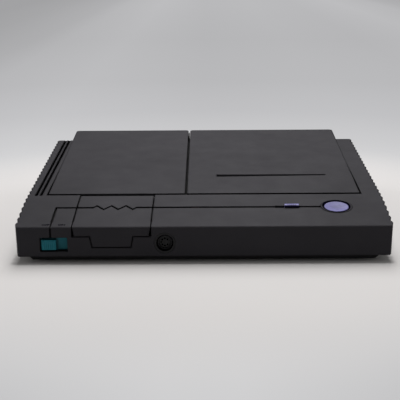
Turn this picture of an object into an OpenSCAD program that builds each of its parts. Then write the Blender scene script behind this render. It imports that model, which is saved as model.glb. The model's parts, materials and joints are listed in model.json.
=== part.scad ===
// Tabletop disc and card game console: a ribbed wedge housing with a fixed left panel,
// a hinged disc lid, a flip-up card door, slide controls, and a disc drive inside.
// Millimetres. +X is right, +Y is to the rear, +Z is up. The origin lies on the floor
// under the middle of the housing. A "d" value is a distance behind the front face.

/* [Housing] */
// Overall width across the rib tips
body_w = 265.6; // [263:0.2:274]
// Overall depth, from the front face to the rear edge of the panels
body_d = 236; // [232:1:252]
// Overall height, at the rear edge of the panels
body_h = 54; // [52:0.5:60]
// Thickness of the housing walls
wall = 2.4; // [2:0.1:2.8]
// Height of the front top edge above the floor
front_edge_h = 26; // [25:0.2:28]
// Radius of the front top edge
front_edge_r = 1.2; // [0.6:0.1:2]
// Height of the lower rim of the upper shell
rim_h = 4.8; // [4.4:0.1:5.6]
// Slope of the front facet, in degrees
facet_slope = 10; // [9:0.1:11.5]
// Slope of the side decks, in degrees
deck_slope = 4.15; // [3.5:0.05:5]
// Lean of the side walls, in degrees
side_lean = 1.6; // [0.5:0.1:2.5]
// Distance of the trim groove behind the front face
groove_d = 32.8; // [31:0.2:36]
// Distance of the groove's left leg from the left side
groove_edge = 25.7; // [24:0.1:27]
// Width of the trim groove
groove_w = 2.2; // [1.2:0.1:2.2]
// Width of the groove's left leg
leg_w = 1.3; // [0.8:0.1:1.6]
// Depth of the trim groove
groove_deep = 1.5; // [0.8:0.1:1.5]
// Distance of the panel seam behind the front face
seam_d = 58.8; // [58.8:0.2:63]
// Length of the bevel behind the side decks
deck_end = 11; // [8:0.5:13]
// Drop of the bevel behind the side decks
deck_drop = 2.5; // [1.5:0.5:3.5]

/* [Ribs and vents] */
// Pitch of the upright ribs on the side walls
rib_pitch = 9; // [7:0.1:11]
// Depth of the valleys between the ribs
rib_depth = 1.6; // [0.8:0.1:2]
// Distance of the first rib tip behind the front face
rib_first = 5; // [4.6:0.1:7]
// Width of the vent slots in the left deck
vent_w = 1.9; // [1.4:0.1:2]
// Distance of the outer vent slot from the side
vent_edge = 6.9; // [6.9:0.1:7.4]
// Pitch of the vent slots
vent_pitch = 3.6; // [3.6:0.1:4.1]
// Number of bars under the vent slots
vent_bars = 6; // [3:1:10]

/* [Panels and lid] */
// Width of each side deck beside the panels
side_deck = 16.1; // [15.8:0.1:16.6]
// Width of the disc lid
lid_w = 129.4; // [128.8:0.2:134]
// Gap between the two panels
divider_gap = 1.6; // [1.4:0.1:2]
// Gap beside the panels
panel_gap = 1.3; // [1:0.1:1.4]
// Gap at the front seam of the panels
seam_gap = 1.4; // [0.8:0.1:1.4]
// Step of the panels above the front, at the seam
panel_rise = 0.5; // [0.2:0.1:0.8]
// Thickness of the panels
panel_t = 2.4; // [2:0.1:2.8]
// Depth of the bay that the panels lie in
bay_depth = 5; // [4.6:0.1:5.6]
// Thickness of the bay floor
bay_floor_t = 2.2; // [1.8:0.1:2.6]
// Corner radius at the rear of the panels
panel_r = 3; // [1:0.5:5]
// Height of the rear skirt of the panels
rear_skirt = 15.5; // [14:0.5:16.5]
// Distance of the lid hinge axis below the panel surface
hinge_drop = 9; // [8.6:0.1:9.2]
// Distance of the lid hinge axis from the rear edge
hinge_back = 8; // [7.6:0.1:8.4]
// Diameter of the lid hinge pins
lid_pin_dia = 3; // [2:0.1:3.4]
// Length of each hinge ear of the lid
lid_ear = 6; // [5:0.5:9]

/* [Card door] */
// Distance of the card door from the left side
door_edge = 41; // [40:0.2:43]
// Width of the card door
door_w = 54.4; // [53.6:0.1:55]
// Thickness of the card door
door_t = 2.2; // [1.8:0.1:2.4]
// Gap around the card door
door_gap = 0.7; // [0.5:0.05:0.8]
// Height of the lower edge of the door
door_low = 19.4; // [19:0.1:19.6]
// Height of the lower edge of the finger tab
tab_low = 11.6; // [10:0.1:13]
// Width of the finger tab at its top
tab_w = 29.6; // [24:0.2:34]
// Diameter of the door hinge pin
door_pin_dia = 1.8; // [1.4:0.1:2]
// Width of the card slot
card_w = 53.4; // [52.6:0.1:53.6]
// Height of the card slot
card_slot_h = 4.6; // [4.4:0.1:4.8]

/* [Controls] */
// Diameter of the open button
button_dia = 18.8; // [16:0.2:20]
// Distance of the open button from the right side
button_edge = 36.8; // [36:0.2:40]
// Travel of the open button
button_travel = 2.5; // [2:0.1:2.8]
// Length of the lid lock slot
lock_slot_l = 17.3; // [16:0.1:20]
// Distance of the middle of the lid lock slot from the right side
lock_edge = 72.4; // [69:0.2:76]
// Length of the lid lock knob
lock_l = 10.3; // [9:0.1:10.6]
// Width of the lid lock knob, front to rear
lock_w = 3; // [3:0.1:4.4]
// Length of the indicator lens
lens_l = 5.8; // [4:0.1:8]
// Place of the middle of the indicator lens
lens_x = -6.3; // [-12:0.5:0]
// Distance of the power switch window from the left side
switch_edge = 18.2; // [17.8:0.1:19]
// Width of the power switch window
switch_w = 19.3; // [18.8:0.1:20]
// Height of the lower edge of the power switch window
switch_z0 = 8.4; // [8:0.1:9]
// Height of the power switch window
switch_h = 10.1; // [9.6:0.1:10.6]
// Travel of the power slider
switch_travel = 8; // [6:0.1:8.2]

/* [Sockets] */
// Distance of the controller socket from the card door
socket_off = 10.1; // [9.6:0.1:12]
// Height of the controller socket
socket_z = 14.3; // [14:0.1:15]
// Outer diameter of the controller socket ring
socket_dia = 14.8; // [14:0.1:15.4]
// Diameter of the controller socket opening
socket_bore = 12; // [11.4:0.1:12.6]
// Distance of the rear signal socket from the left side
signal_edge = 72.8; // [68:0.2:78]
// Height of the rear signal socket
signal_z = 16; // [15:0.1:18]
// Diameter of the rear signal socket ring
signal_dia = 17; // [16:0.1:18]
// Distance of the rear power inlet from the left side
inlet_edge = 42.8; // [40:0.2:46]
// Height of the rear power inlet
inlet_z = 13.5; // [13:0.1:15]
// Diameter of the rear power inlet
inlet_dia = 9; // [8.4:0.1:10]

/* [Disc drive] */
// Radius of the disc well
well_r = 61.5; // [60.6:0.1:61.8]
// Distance of the spindle behind the panel seam
spindle_v = 74; // [72:0.5:78]
// Depth of the disc well floor below the panel surface
well_deep = 11.5; // [11:0.1:12.5]
// Depth of the disc seat below the panel surface
seat_deep = 8; // [7.8:0.1:8.4]
// Diameter of the turntable
table_dia = 31; // [28:0.5:33]
// Distance of the lens from the spindle at the inner end of its travel
lens_in = 25; // [24.5:0.1:27]
// Travel of the pickup sled
sled_travel = 34; // [30:0.5:35]
// Distance between the guide rods
rod_span = 32; // [30.5:0.5:34]
// Diameter of the guide rods
rod_dia = 3; // [2.4:0.1:3.4]
// Tooth module of the rack and its pinion
rack_m = 0.7; // [0.65:0.01:0.75]
// Teeth of the rack pinion
rack_teeth = 18; // [17:1:20]
// Tooth module of the reduction gears
gear_m = 0.5; // [0.48:0.01:0.52]
// Teeth of the reduction gear
gear_teeth = 44; // [42:1:48]
// Teeth of the motor pinion
pinion_teeth = 18; // [17:1:19]

/* [Base] */
// Inset of the plinth at the front and rear
plinth_inset = 5.4; // [4:0.1:7]
// Inset of the plinth at the sides
plinth_side = 12; // [12:0.5:16.5]
// Slope width of the plinth's side bevels
plinth_bevel = 4; // [3:0.5:4.5]
// Height of the feet below the plinth
foot_h = 1.2; // [0.8:0.1:1.6]
// Diameter of the feet
foot_dia = 13; // [10:0.5:16]
// Thickness of the base floor
floor_t = 2; // [1.8:0.1:2.4]
// Height of the main board above the base floor
board_rise = 2.4; // [2:0.1:2.6]
// Thickness of the main board
board_t = 1.6; // [1.2:0.1:1.8]

/* [Clearances] */
// Clearance between moving pieces
clear = 0.3; // [0.25:0.05:0.4]
// Radial running clearance of pins and shafts
run = 0.05; // [0.02:0.01:0.08]

/* [Hidden] */
$fn = 64;

// Colours as the photograph shows them
charcoal = [0.29, 0.29, 0.30];
soot = [0.13, 0.13, 0.14];
lilac = [0.47, 0.46, 0.64];
teal = [0.09, 0.38, 0.42];
steel = [0.72, 0.72, 0.74];
board_green = [0.12, 0.35, 0.20];

// Surface of the front and the decks
half_w = body_w / 2;
reach = 2 * body_d;
groove_x = -half_w + groove_edge;
groove_z = facet_z(groove_d);
bend_d = (groove_d + seam_d) / 2;
bend_z = facet_z(bend_d);
seam_z = deck_z(seam_d);
deck_rear_d = body_d - deck_end;
deck_rear_z = deck_z(deck_rear_d);
bend_steps = 6;
rib_count = floor((deck_rear_d - rib_first - 2) / rib_pitch) + 1;
rib_top = deck_z(rib_first + (rib_count - 1) * rib_pitch);
lean_in = (rib_top - rim_h) * tan(side_lean);
cavity_hw = half_w - rib_depth - lean_in - wall;
function fy(d) = d - body_d / 2;
function facet_z(d) = front_edge_h + d * tan(facet_slope);
function deck_z(d) = bend_z + (d - bend_d) * tan(deck_slope);
function bend(t) = (1 - t) * (1 - t) * [groove_d, groove_z] + 2 * t * (1 - t) * [bend_d, bend_z]
                   + t * t * [seam_d, seam_z];
function top_z(d) =
    d < groove_d ? facet_z(d) : d > seam_d ? deck_z(d) : bend((d - groove_d) / (seam_d - groove_d))[1];
function top_line(drop) = [for (i = [0 : bend_steps]) bend(i / bend_steps) - [0, drop]];
function front_round(r) =
    let (mid = [r, front_edge_h + r * tan(facet_slope) - r / cos(facet_slope)])
    [for (i = [0 : 4]) let (a = 180 - i * (90 - facet_slope) / 4) mid + r * [cos(a), sin(a)]];

// Frame of the two top panels: v runs up the slope from the seam, z is square to the surface
panels_w = body_w - 2 * side_deck;
panel_front = seam_z + panel_rise;
panel_slope = atan((body_h - panel_front) / (body_d - seam_d));
panel_len = (body_d - seam_d) / cos(panel_slope);
function panel_y(v, z) = fy(seam_d) + v * cos(panel_slope) - z * sin(panel_slope);
function panel_z(v, z) = panel_front + v * sin(panel_slope) + z * cos(panel_slope);
bay_hw = panels_w / 2 + panel_gap;
bay_low = bay_depth + bay_floor_t;
lid_x1 = panels_w / 2;
lid_x0 = lid_x1 - lid_w;
left_x1 = lid_x0 - divider_gap;
skirt_t = 2;
lid_lift = 0.4;
hinge_v = panel_len - hinge_back;
ear_r = 4.6;
ear_side = 0.3;
skirt_lean = rear_skirt * tan(panel_slope);
trough_r = norm([hinge_back - skirt_lean, rear_skirt - hinge_drop]) + 1;
trough_x0 = lid_x0 - 0.5;
fin_deep = 1.8;
bed_len = panel_len - 4.4;
rear_wall_top = panel_z(panel_len, -rear_skirt) - 1;
pin_hold = 7.6;

// Card door
door_x0 = -half_w + door_edge;
door_x1 = door_x0 + door_w;
door_mid = (door_x0 + door_x1) / 2;
door_hinge_d = seam_d - 2.1;
door_barrel_r = 2;
door_hinge_z = top_z(door_hinge_d) - door_barrel_r - 0.1;
door_ear = 4;
door_pin_x0 = door_x0 - door_gap - door_ear + 0.8;
door_pin_x1 = door_x1 + door_gap + door_ear - 0.8;
lip_taper = 1.2;
tab_taper = 1.6;

// Card bay and connector
bay_apron_t = 1.5;
apron_d = door_t + 1.4;
apron_z = door_low - clear;
connector_d = 20;
connector_len = 52;
connector_end = connector_d + connector_len;
connector_hw = card_w / 2 + 4;
connector_wall = 2.2;
slot_z = apron_z + 0.9;

// Button, latch and lock
button_x = half_w - button_edge;
lock_x = half_w - lock_edge;
button_cup_deep = 9.6;
button_proud = 0.2;
button_dish = 0.6;
cap_low = 3;
bezel_w = 1.9;
spring_wire_r = 0.4;
cup_wall = 1.6;
stem_r = 3;
stem_tip = 2.5;
stem_end = 15.5;
latch_t = 3;
latch_z = groove_z - (stem_end + button_travel) * cos(facet_slope) - clear - latch_t;
ramp_h = 4;
ramp_line = groove_d + groove_z - stem_r * (cos(facet_slope) + sin(facet_slope))
            - (stem_end - stem_tip) * (cos(facet_slope) - sin(facet_slope)) - 2 * clear;
latch_top = panel_z(0, -bay_low) - 1;
latch_nose = 2.2;
latch_d0 = groove_d - 6;
arm_d0 = seam_d - 2.2;
arm_d1 = seam_d + 1.8;
nose_d = seam_d + 4.1;
latch_hw = 5.5;
hook_v = 4.2;
hook_deep = 14;
lock_neck = 3;
lock_proud = 1.6;
lock_stem_w = 2;

// Power slider
switch_x0 = -half_w + switch_edge;
knob_side = 1.2;
knob_l = switch_w - knob_side - clear - switch_travel;
slide_d = 4;
slide_t = 1.5;
slide_x1 = switch_x0 + switch_w - 0.2;
stem_len = 5;

// Sockets
socket_x = door_x1 + socket_off;
signal_x = -half_w + signal_edge;
inlet_x = -half_w + inlet_edge;

// Disc drive, in the panel frame
spindle_x = (lid_x0 + lid_x1) / 2;
well_wall = 1.6;
disc_t = 1.2;
well_floor_t = 2;
plate_t = 1.5;
plate_top = well_deep + well_floor_t + 1.9;
plate_low = plate_top + plate_t;
plate_hv = 45;
plate_left = 80;
plate_right = 45;
damper_spots = [[-74, -39], [39, -39], [-74, 39], [39, 39]];
motor_r = 12.5;
motor_h = 9;
table_t = 2.2;
hub_r = 7.4;
shaft_end = plate_low + motor_h - 1.3;
shaft_r = 1;
sled_top = plate_low + 0.6;
sled_h = 6;
sled_hl = 10;
sled_hv = rod_span / 2 + 4;
rod_z = sled_top + sled_h / 2;
rack_r = rack_m * rack_teeth / 2;
rack_bar = 3;
rack_v = -sled_hv - rack_bar;
gear_x = -lens_in - 5;
gear_v = rack_v - rack_r;
gear_low = sled_top + sled_h + 0.6;
gear_t = 2;
mesh_gap = gear_m * (gear_teeth + pinion_teeth) / 2;
mesh_angle = 200;
pinion_x = gear_x + mesh_gap * cos(mesh_angle);
pinion_v = gear_v + mesh_gap * sin(mesh_angle);
tooth_play = 0.07;
sled_motor_r = 6.6;

// Base and board
base_floor_z = foot_h + floor_t;
flange_top = rim_h + wall;
plinth_hw = half_w - plinth_side;
board_z = base_floor_z + board_rise;
board_top = board_z + board_t;
board_x0 = -plinth_hw + 16.8;
board_x1 = spindle_x + damper_spots[0][0] - 6;
shield_x0 = board_x0 + 3;
shield_x1 = board_x1 - 16;
shield_w = shield_x1 - shield_x0;
shield_h = 7;
shield_t = 0.6;
shield_slot = 3;
shield_pitch = 8;
chip_h = 2.2;
board_d0 = 18;
board_d1 = body_d - 16;
board_holes = [[board_x0 + 5, connector_end + 6], [board_x1 - 5, connector_end + 6],
               [board_x0 + 5, board_d1 - 26], [board_x1 - 5, board_d1 - 6]];
boss_z = 8;
boss_x = bay_hw - 8;
boss_spots = [[-boss_x, 75], [boss_x, 75], [-boss_x, body_d - 28], [boss_x, body_d - 28]];
foot_x = plinth_hw - 19;
foot_spots = [[-foot_x, 24], [foot_x, 24], [-foot_x, body_d - 24], [foot_x, body_d - 24]];
screw_r = 1.5;
screw_head_r = 2.8;

// A box between two corners
module box(lo, hi) translate(lo) cube(hi - lo);
// A section drawn in distance and height, carried along X
module along_x(x0, x1) translate([x0, fy(0), 0]) rotate([90, 0, 90]) linear_extrude(x1 - x0) children();
// An outline drawn in X and height, carried along Y
module along_y(d0, d1) translate([0, fy(d1), 0]) rotate([90, 0, 0]) linear_extrude(d1 - d0) children();
// A rod along X at a distance and height
module rod_x(x0, x1, y, z, r) translate([x0, y, z]) rotate([0, 90, 0]) cylinder(r = r, h = x1 - x0);
// The frame of the panels
module on_panel() translate([0, fy(seam_d), panel_front]) rotate([panel_slope, 0, 0]) children();
// The frame of the spindle
module on_spindle() on_panel() translate([spindle_x, spindle_v, 0]) children();
// A frame on the front facet, with Z square to it
module on_facet(x, d) translate([x, fy(d), facet_z(d)]) rotate([facet_slope, 0, 0]) children();
// A frame on a front-facing opening, with Z to the front
module on_front(x, z, d) translate([x, fy(d), z]) rotate([90, 0, 0]) children();
// A frame on a rear-facing opening, with Z to the rear
module on_rear(x, z, d) translate([x, fy(d), z]) rotate([-90, 0, 0]) children();
// A rectangle with round corners
module round_rect(x0, x1, y0, y1, r_front, r_rear) {
    difference() {
        translate([x0, y0]) square([x1 - x0, y1 - y0]);
        translate([x0, y0]) corner_cut(1, 1, r_front);
        translate([x1, y0]) corner_cut(-1, 1, r_front);
        translate([x0, y1]) corner_cut(1, -1, r_rear);
        translate([x1, y1]) corner_cut(-1, -1, r_rear);
    }
}
// What a corner loses to its radius
module corner_cut(sx, sy, r) {
    difference() {
        translate([sx > 0 ? -1 : -r, sy > 0 ? -1 : -r]) square(r + 1);
        translate([sx * r, sy * r]) circle(r);
    }
}

// Section of the housing from the front face to the rear
module housing_section() {
    polygon(concat([[0, rim_h]], front_round(front_edge_r), top_line(0),
                   [[deck_rear_d, deck_rear_z], [body_d, deck_rear_z - deck_drop], [body_d, rim_h]]));
}
// Half of the housing's plan with its ribs, leaning outwards to the top
module ribbed_half() {
    start = rib_first - rib_pitch / 2;
    side = [for (i = [0 : 4 * rib_count]) [rib_depth * (abs(sin(45 * i)) - 1), fy(start + i * rib_pitch / 4)]];
    translate([half_w, 0, rib_top]) rotate([0, side_lean, 0]) translate([0, 0, -body_h])
        linear_extrude(2 * body_h)
            polygon(concat([[-0.7 * body_w, fy(0)], [-rib_depth, fy(0)]], side,
                           [[-rib_depth, fy(body_d)], [-0.7 * body_w, fy(body_d)]]));
}
// Outer form of the housing
module housing_form() {
    intersection() {
        along_x(-half_w - 1, half_w + 1) housing_section();
        union() {
            ribbed_half();
            mirror([1, 0, 0]) ribbed_half();
        }
    }
}
// Hollow of the housing
module housing_hollow() {
    along_x(-cavity_hw, cavity_hw)
        polygon(concat([[wall, 0], [wall, facet_z(wall) - wall - 0.4]], top_line(wall),
                       [[deck_rear_d - 1, deck_rear_z - wall - 0.2],
                        [body_d - wall, deck_rear_z - deck_drop - wall], [body_d - wall, 0]]));
}
// Walls and floor of the bay under the panels
module bay_walls() {
    intersection() {
        housing_form();
        on_panel() box([-bay_hw - wall, -wall, -bay_low], [bay_hw + wall, panel_len + 4, bay_depth]);
    }
    on_panel() box([-bay_hw, 0, -bay_low], [bay_hw, bed_len, -bay_depth]);
    intersection() {
        box([-bay_hw, fy(body_d - 6.6), rear_wall_top - 6], [left_x1, fy(body_d - 4.2), body_h]);
        on_panel() box([-bay_hw, 0, -2 * body_h], [bay_hw, panel_len, -bay_depth]);
    }
}
// Space of the panels above the bay floor
module bay_space() {
    on_panel() box([-bay_hw, 0, -bay_depth], [bay_hw, panel_len + 10, body_h]);
    box([-bay_hw, fy(body_d - 3.4), rear_wall_top], [bay_hw, fy(body_d + 5), body_h]);
}
// A bar along the lid's hinge axis
module hinge_bar(x0, x1, r) rod_x(x0, x1, panel_y(hinge_v, -hinge_drop), panel_z(hinge_v, -hinge_drop), r);
// Trough that the lid's rear edge turns in, with the blocks that hold the pins
module hinge_trough() {
    intersection() {
        union() {
            hinge_bar(trough_x0 - wall, bay_hw + wall, trough_r + wall);
            hinge_bar(left_x1 - pin_hold, trough_x0, trough_r + wall);
            hinge_bar(bay_hw, bay_hw + pin_hold + 1, trough_r + wall);
        }
        union() {
            on_panel() box([-bay_hw, 0, -2 * body_h], [bay_hw, panel_len + 2, -bay_depth]);
            along_x(bay_hw - 1, half_w) housing_section();
        }
        box([-half_w, -half_w * 2, 0], [half_w - rib_depth - 1, fy(body_d - 1), body_h]);
    }
}
// Fin that closes the rear end of the gap between the panels
module divider_fin() {
    intersection() {
        on_panel() box([left_x1 + 0.2, panel_len - 18, -bay_depth - 1],
                       [trough_x0 - 0.05, panel_len, -fin_deep]);
        box([-half_w, fy(0), 0], [half_w, fy(body_d - 1.5), body_h]);
    }
}
// Strip of the trim groove in plan
module groove_plan() {
    translate([groove_x - leg_w / 2, fy(groove_d) - groove_w / 2])
        square([button_x - button_dia / 2 - groove_x + leg_w / 2, groove_w]);
    translate([groove_x - leg_w / 2, fy(-1)]) square([leg_w, groove_d + 1]);
}
// Zigzag strip of the groove on the card door
module wave_plan() {
    waves = 3;
    count = 4 * waves;
    half = tab_w / 2 + 1;
    swing = 3.2;
    wave = [for (i = [0 : count])
        [door_mid - half + 2 * half * i / count, fy(groove_d) + swing * sin(90 * i)]];
    polygon(concat([for (p = wave) p + [0, groove_w / 2]],
                   [for (i = [count : -1 : 0]) wave[i] - [0, groove_w / 2]]));
    for (s = [[door_x0 - 1, door_mid - half + 0.3], [door_mid + half - 0.3, door_x1 + 1]])
        translate([s[0], fy(groove_d) - groove_w / 2]) square([s[1] - s[0], groove_w]);
}
// Cut of a plan strip to the groove's depth under the surface
module groove_cut() {
    difference() {
        translate([0, 0, front_edge_h - 4]) linear_extrude(body_h) children();
        along_x(-half_w, half_w) translate([0, -groove_deep]) housing_section();
    }
}
// Outline of the card door on the front, grown by a gap
module door_outline(gap) {
    x0 = door_x0 - gap;
    x1 = door_x1 + gap;
    low = door_low - gap;
    t0 = door_mid - tab_w / 2 - gap;
    t1 = door_mid + tab_w / 2 + gap;
    polygon([[x0, body_h], [x0, front_edge_h], [x0 + lip_taper, low], [t0, low],
             [t0 + tab_taper, tab_low - gap], [t1 - tab_taper, tab_low - gap],
             [t1, low], [x1 - lip_taper, low], [x1, front_edge_h], [x1, body_h]]);
}
// Opening in the shell for the card door and its barrel
module door_opening() {
    along_y(-1, door_t + door_gap + 0.6) door_outline(door_gap);
    box([door_x0 - door_gap, fy(0), door_low - door_gap], [door_x1 + door_gap, fy(seam_d + 0.2), body_h]);
}
// Blocks beside the door opening that hold its hinge pin
module door_ears() {
    intersection() {
        housing_form();
        for (x = [door_x0 - door_gap - door_ear, door_x1 + door_gap])
            box([x, fy(door_hinge_d - 4), door_hinge_z - 4], [x + door_ear, fy(seam_d), body_h]);
    }
}
// A bar along the door's hinge axis
module door_bar(x0, x1, r) rod_x(x0, x1, fy(door_hinge_d), door_hinge_z, r);
// Long vent slots, open at the rear, and the bars under them
module vent_slots() {
    for (i = [0, 1])
        box([-half_w + vent_edge - vent_w / 2 + i * vent_pitch, fy(seam_d - 0.6), deck_z(seam_d) - wall - 1.5],
            [-half_w + vent_edge + vent_w / 2 + i * vent_pitch, fy(body_d - wall - 1), body_h]);
}
module vent_rails() {
    span = deck_rear_d - seam_d - 20;
    intersection() {
        for (i = [0 : vent_bars - 1])
            let (d = seam_d + 12 + i * span / (vent_bars - 1))
            box([-cavity_hw - 1, fy(d), deck_z(d) - wall - 4], [-bay_hw, fy(d + 2), deck_z(d) - wall + 0.4]);
        housing_form();
    }
}
// Bosses for the case screws under the bay floor
module shell_bosses() {
    for (s = boss_spots) {
        v = (s[1] - seam_d) / cos(panel_slope);
        translate([s[0], fy(s[1]), boss_z]) cylinder(r = 3.5, h = panel_z(v, -bay_low + 0.9) - boss_z);
    }
}

module upper_shell() color(charcoal) {
    difference() {
        union() {
            difference() {
                housing_form();
                housing_hollow();
            }
            bay_walls();
            hinge_trough();
            door_ears();
            vent_rails();
            shell_bosses();
            on_facet(button_x, groove_d) translate([0, 0, -button_cup_deep - cup_wall])
                cylinder(r = button_dia / 2 + bezel_w + cup_wall, h = button_cup_deep);
        }
        bay_space();
        hinge_bar(trough_x0, bay_hw + 0.2, trough_r);
        hinge_bar(left_x1 - pin_hold + 1, lid_x0, lid_pin_dia / 2 + 0.02);
        hinge_bar(lid_x1, bay_hw + pin_hold, lid_pin_dia / 2 + 0.02);
        door_opening();
        door_bar(door_pin_x0 - 0.2, door_pin_x1 + 0.2, door_pin_dia / 2 + 0.02);
        vent_slots();
        groove_cut() groove_plan();
        box([groove_x - leg_w / 2, fy(-1), switch_z0 + switch_h - 1],
            [groove_x + leg_w / 2, fy(groove_deep), front_edge_h]);
        // open button
        on_facet(button_x, groove_d) {
            translate([0, 0, -button_cup_deep])
                cylinder(r = button_dia / 2 + bezel_w + 0.02, h = button_cup_deep + 5);
            translate([0, 0, -button_cup_deep - 5]) cylinder(r = stem_r + clear, h = 10);
        }
        // lid lock slot
        on_facet(lock_x, groove_d)
            box([-lock_slot_l / 2, -lock_w / 2 - clear, -6], [lock_slot_l / 2, lock_w / 2 + clear, 3]);
        // indicator lens
        on_facet(lens_x, groove_d) box([-lens_l / 2 - 0.05, -1.05, -6], [lens_l / 2 + 0.05, 1.05, 3]);
        // hook passage in the bay floor
        on_panel() box([button_x - latch_hw - 1.5, 1, -bay_low - 2],
                       [button_x + latch_hw + 1.5, hook_v + 6.5, 0]);
        // disc well
        on_spindle() translate([0, 0, -bay_low - 3]) cylinder(r = well_r + well_wall + clear, h = 10, $fn = 96);
        // windows in the front and rear walls
        along_y(-1, wall + 1) translate([switch_x0, switch_z0]) square([switch_w, switch_h]);
        on_front(socket_x, socket_z, wall + 1) cylinder(d = socket_dia + 0.1, h = wall + 3);
        on_rear(signal_x, signal_z, body_d - wall - 1) cylinder(d = signal_dia + 0.1, h = wall + 3);
        on_rear(inlet_x, inlet_z, body_d - wall - 1) cylinder(d = inlet_dia + 0.1, h = wall + 3);
        for (s = boss_spots) translate([s[0], fy(s[1]), boss_z - 1]) cylinder(r = screw_r, h = 14);
    }
    divider_fin();
}

module lower_shell() color(soot) {
    difference() {
        union() {
            difference() {
                union() {
                    along_y(plinth_inset, body_d - plinth_inset)
                        polygon([[-plinth_hw, foot_h], [plinth_hw, foot_h],
                                 [plinth_hw + plinth_bevel, rim_h], [-plinth_hw - plinth_bevel, rim_h]]);
                    box([-cavity_hw + 0.1, fy(wall + 0.1), rim_h],
                        [cavity_hw - 0.1, fy(body_d - wall - 0.1), flange_top]);
                }
                box([-plinth_hw + wall, fy(plinth_inset + wall), base_floor_z],
                    [plinth_hw - wall, fy(body_d - plinth_inset - wall), body_h]);
            }
            for (s = boss_spots)
                translate([s[0], fy(s[1]), base_floor_z]) cylinder(r = 4, h = boss_z - base_floor_z);
            for (s = board_holes) translate([s[0], fy(s[1]), base_floor_z]) cylinder(r = 3, h = board_rise);
            latch_channel();
            drive_posts();
        }
        for (s = boss_spots) translate([s[0], fy(s[1]), 0]) {
            cylinder(r = screw_head_r + 0.2, h = base_floor_z + 0.6);
            cylinder(r = screw_r + 0.2, h = body_h);
        }
        for (s = board_holes) translate([s[0], fy(s[1]), base_floor_z]) cylinder(r = 1, h = 10);
        for (s = foot_spots) translate([s[0], fy(s[1]), 0]) cylinder(d = foot_dia + 0.1, h = foot_h + 0.8);
    }
}
// Channel that the latch slides in
module latch_channel() {
    side = latch_hw + clear;
    d0 = latch_d0 - 1;
    d1 = arm_d0 - 2;
    box([button_x - side - 2, fy(d0), base_floor_z], [button_x + side + 2, fy(d1), latch_z - clear]);
    for (x = [button_x - side - 2, button_x + side])
        box([x, fy(d0), base_floor_z], [x + 2, fy(d1), latch_z + latch_t]);
}
// Posts that carry the drive
module drive_posts() {
    intersection() {
        on_spindle() for (s = damper_spots)
            translate([s[0], s[1], -plate_low - 1.5 - body_h]) cylinder(r = 4, h = body_h);
        box([-half_w, fy(0), base_floor_z], [half_w, fy(body_d), body_h]);
    }
    on_spindle() for (s = damper_spots)
        translate([s[0], s[1], -plate_low - 2]) cylinder(r = 1.6, h = plate_t + 2);
}

// A panel with its skirts, in the panel frame, cut off square at the rear
module panel_form(x0, x1, skirt) {
    intersection() {
        on_panel() difference() {
            union() {
                translate([0, 0, -skirt]) linear_extrude(skirt)
                    round_rect(x0, x1, seam_gap, panel_len + 4, 0.8, panel_r);
                box([x0 + panel_r + 1, panel_len - skirt_t - 2.4, -rear_skirt],
                    [x1 - panel_r - 1, panel_len + 4, -1]);
            }
            translate([0, 0, -skirt - 1]) linear_extrude(skirt + 1 - panel_t)
                round_rect(x0 + skirt_t, x1 - skirt_t, seam_gap + skirt_t, panel_len - skirt_t, 0.5, 0.5);
            box([x0 + skirt_t, panel_len - 40, -rear_skirt - 1], [x1 - skirt_t, panel_len - skirt_t, -panel_t]);
        }
        intersection() {
            box([x0, fy(0), 0], [x1, fy(body_d), 2 * body_h]);
            translate([0, 0, -1]) linear_extrude(2 * body_h)
                round_rect(x0, x1, fy(0), fy(body_d), 0.5, panel_r);
        }
    }
}
module left_panel() color(charcoal) panel_form(-panels_w / 2, left_x1, bay_depth);

module disc_lid() color(charcoal) {
    difference() {
        union() {
            panel_form(lid_x0, lid_x1, bay_depth - lid_lift);
            for (x = [lid_x0 + ear_side, lid_x1 - ear_side - lid_ear]) {
                hinge_bar(x, x + lid_ear, ear_r);
                on_panel() box([x + 0.2, hinge_v - ear_r + 0.5, -hinge_drop],
                               [x + lid_ear - 0.2, hinge_v + ear_r - 0.5, -panel_t + 0.2]);
            }
            // holder of the disc clamp
            on_spindle() translate([0, 0, -6.2]) cylinder(r = 20, h = 6.2 - panel_t + 0.2);
            // catch for the latch
            on_panel() {
                box([button_x - 5, hook_v + 1.3, -hook_deep], [button_x + 5, hook_v + 3.8, -panel_t + 0.2]);
                box([button_x - 5, hook_v, -hook_deep], [button_x + 5, hook_v + 2, -hook_deep + 2]);
            }
        }
        hinge_bar(lid_x0 - 1, lid_x0 + ear_side + lid_ear + 1, lid_pin_dia / 2 + run);
        hinge_bar(lid_x1 - ear_side - lid_ear - 1, lid_x1 + 1, lid_pin_dia / 2 + run);
        on_spindle() {
            translate([0, 0, -5.2]) cylinder(r = 17.4, h = 5.2 - panel_t);
            translate([0, 0, -7]) cylinder(r = 14.6, h = 3);
        }
        // saw-tooth recess across the lid
        lid_recess();
    }
}
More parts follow.
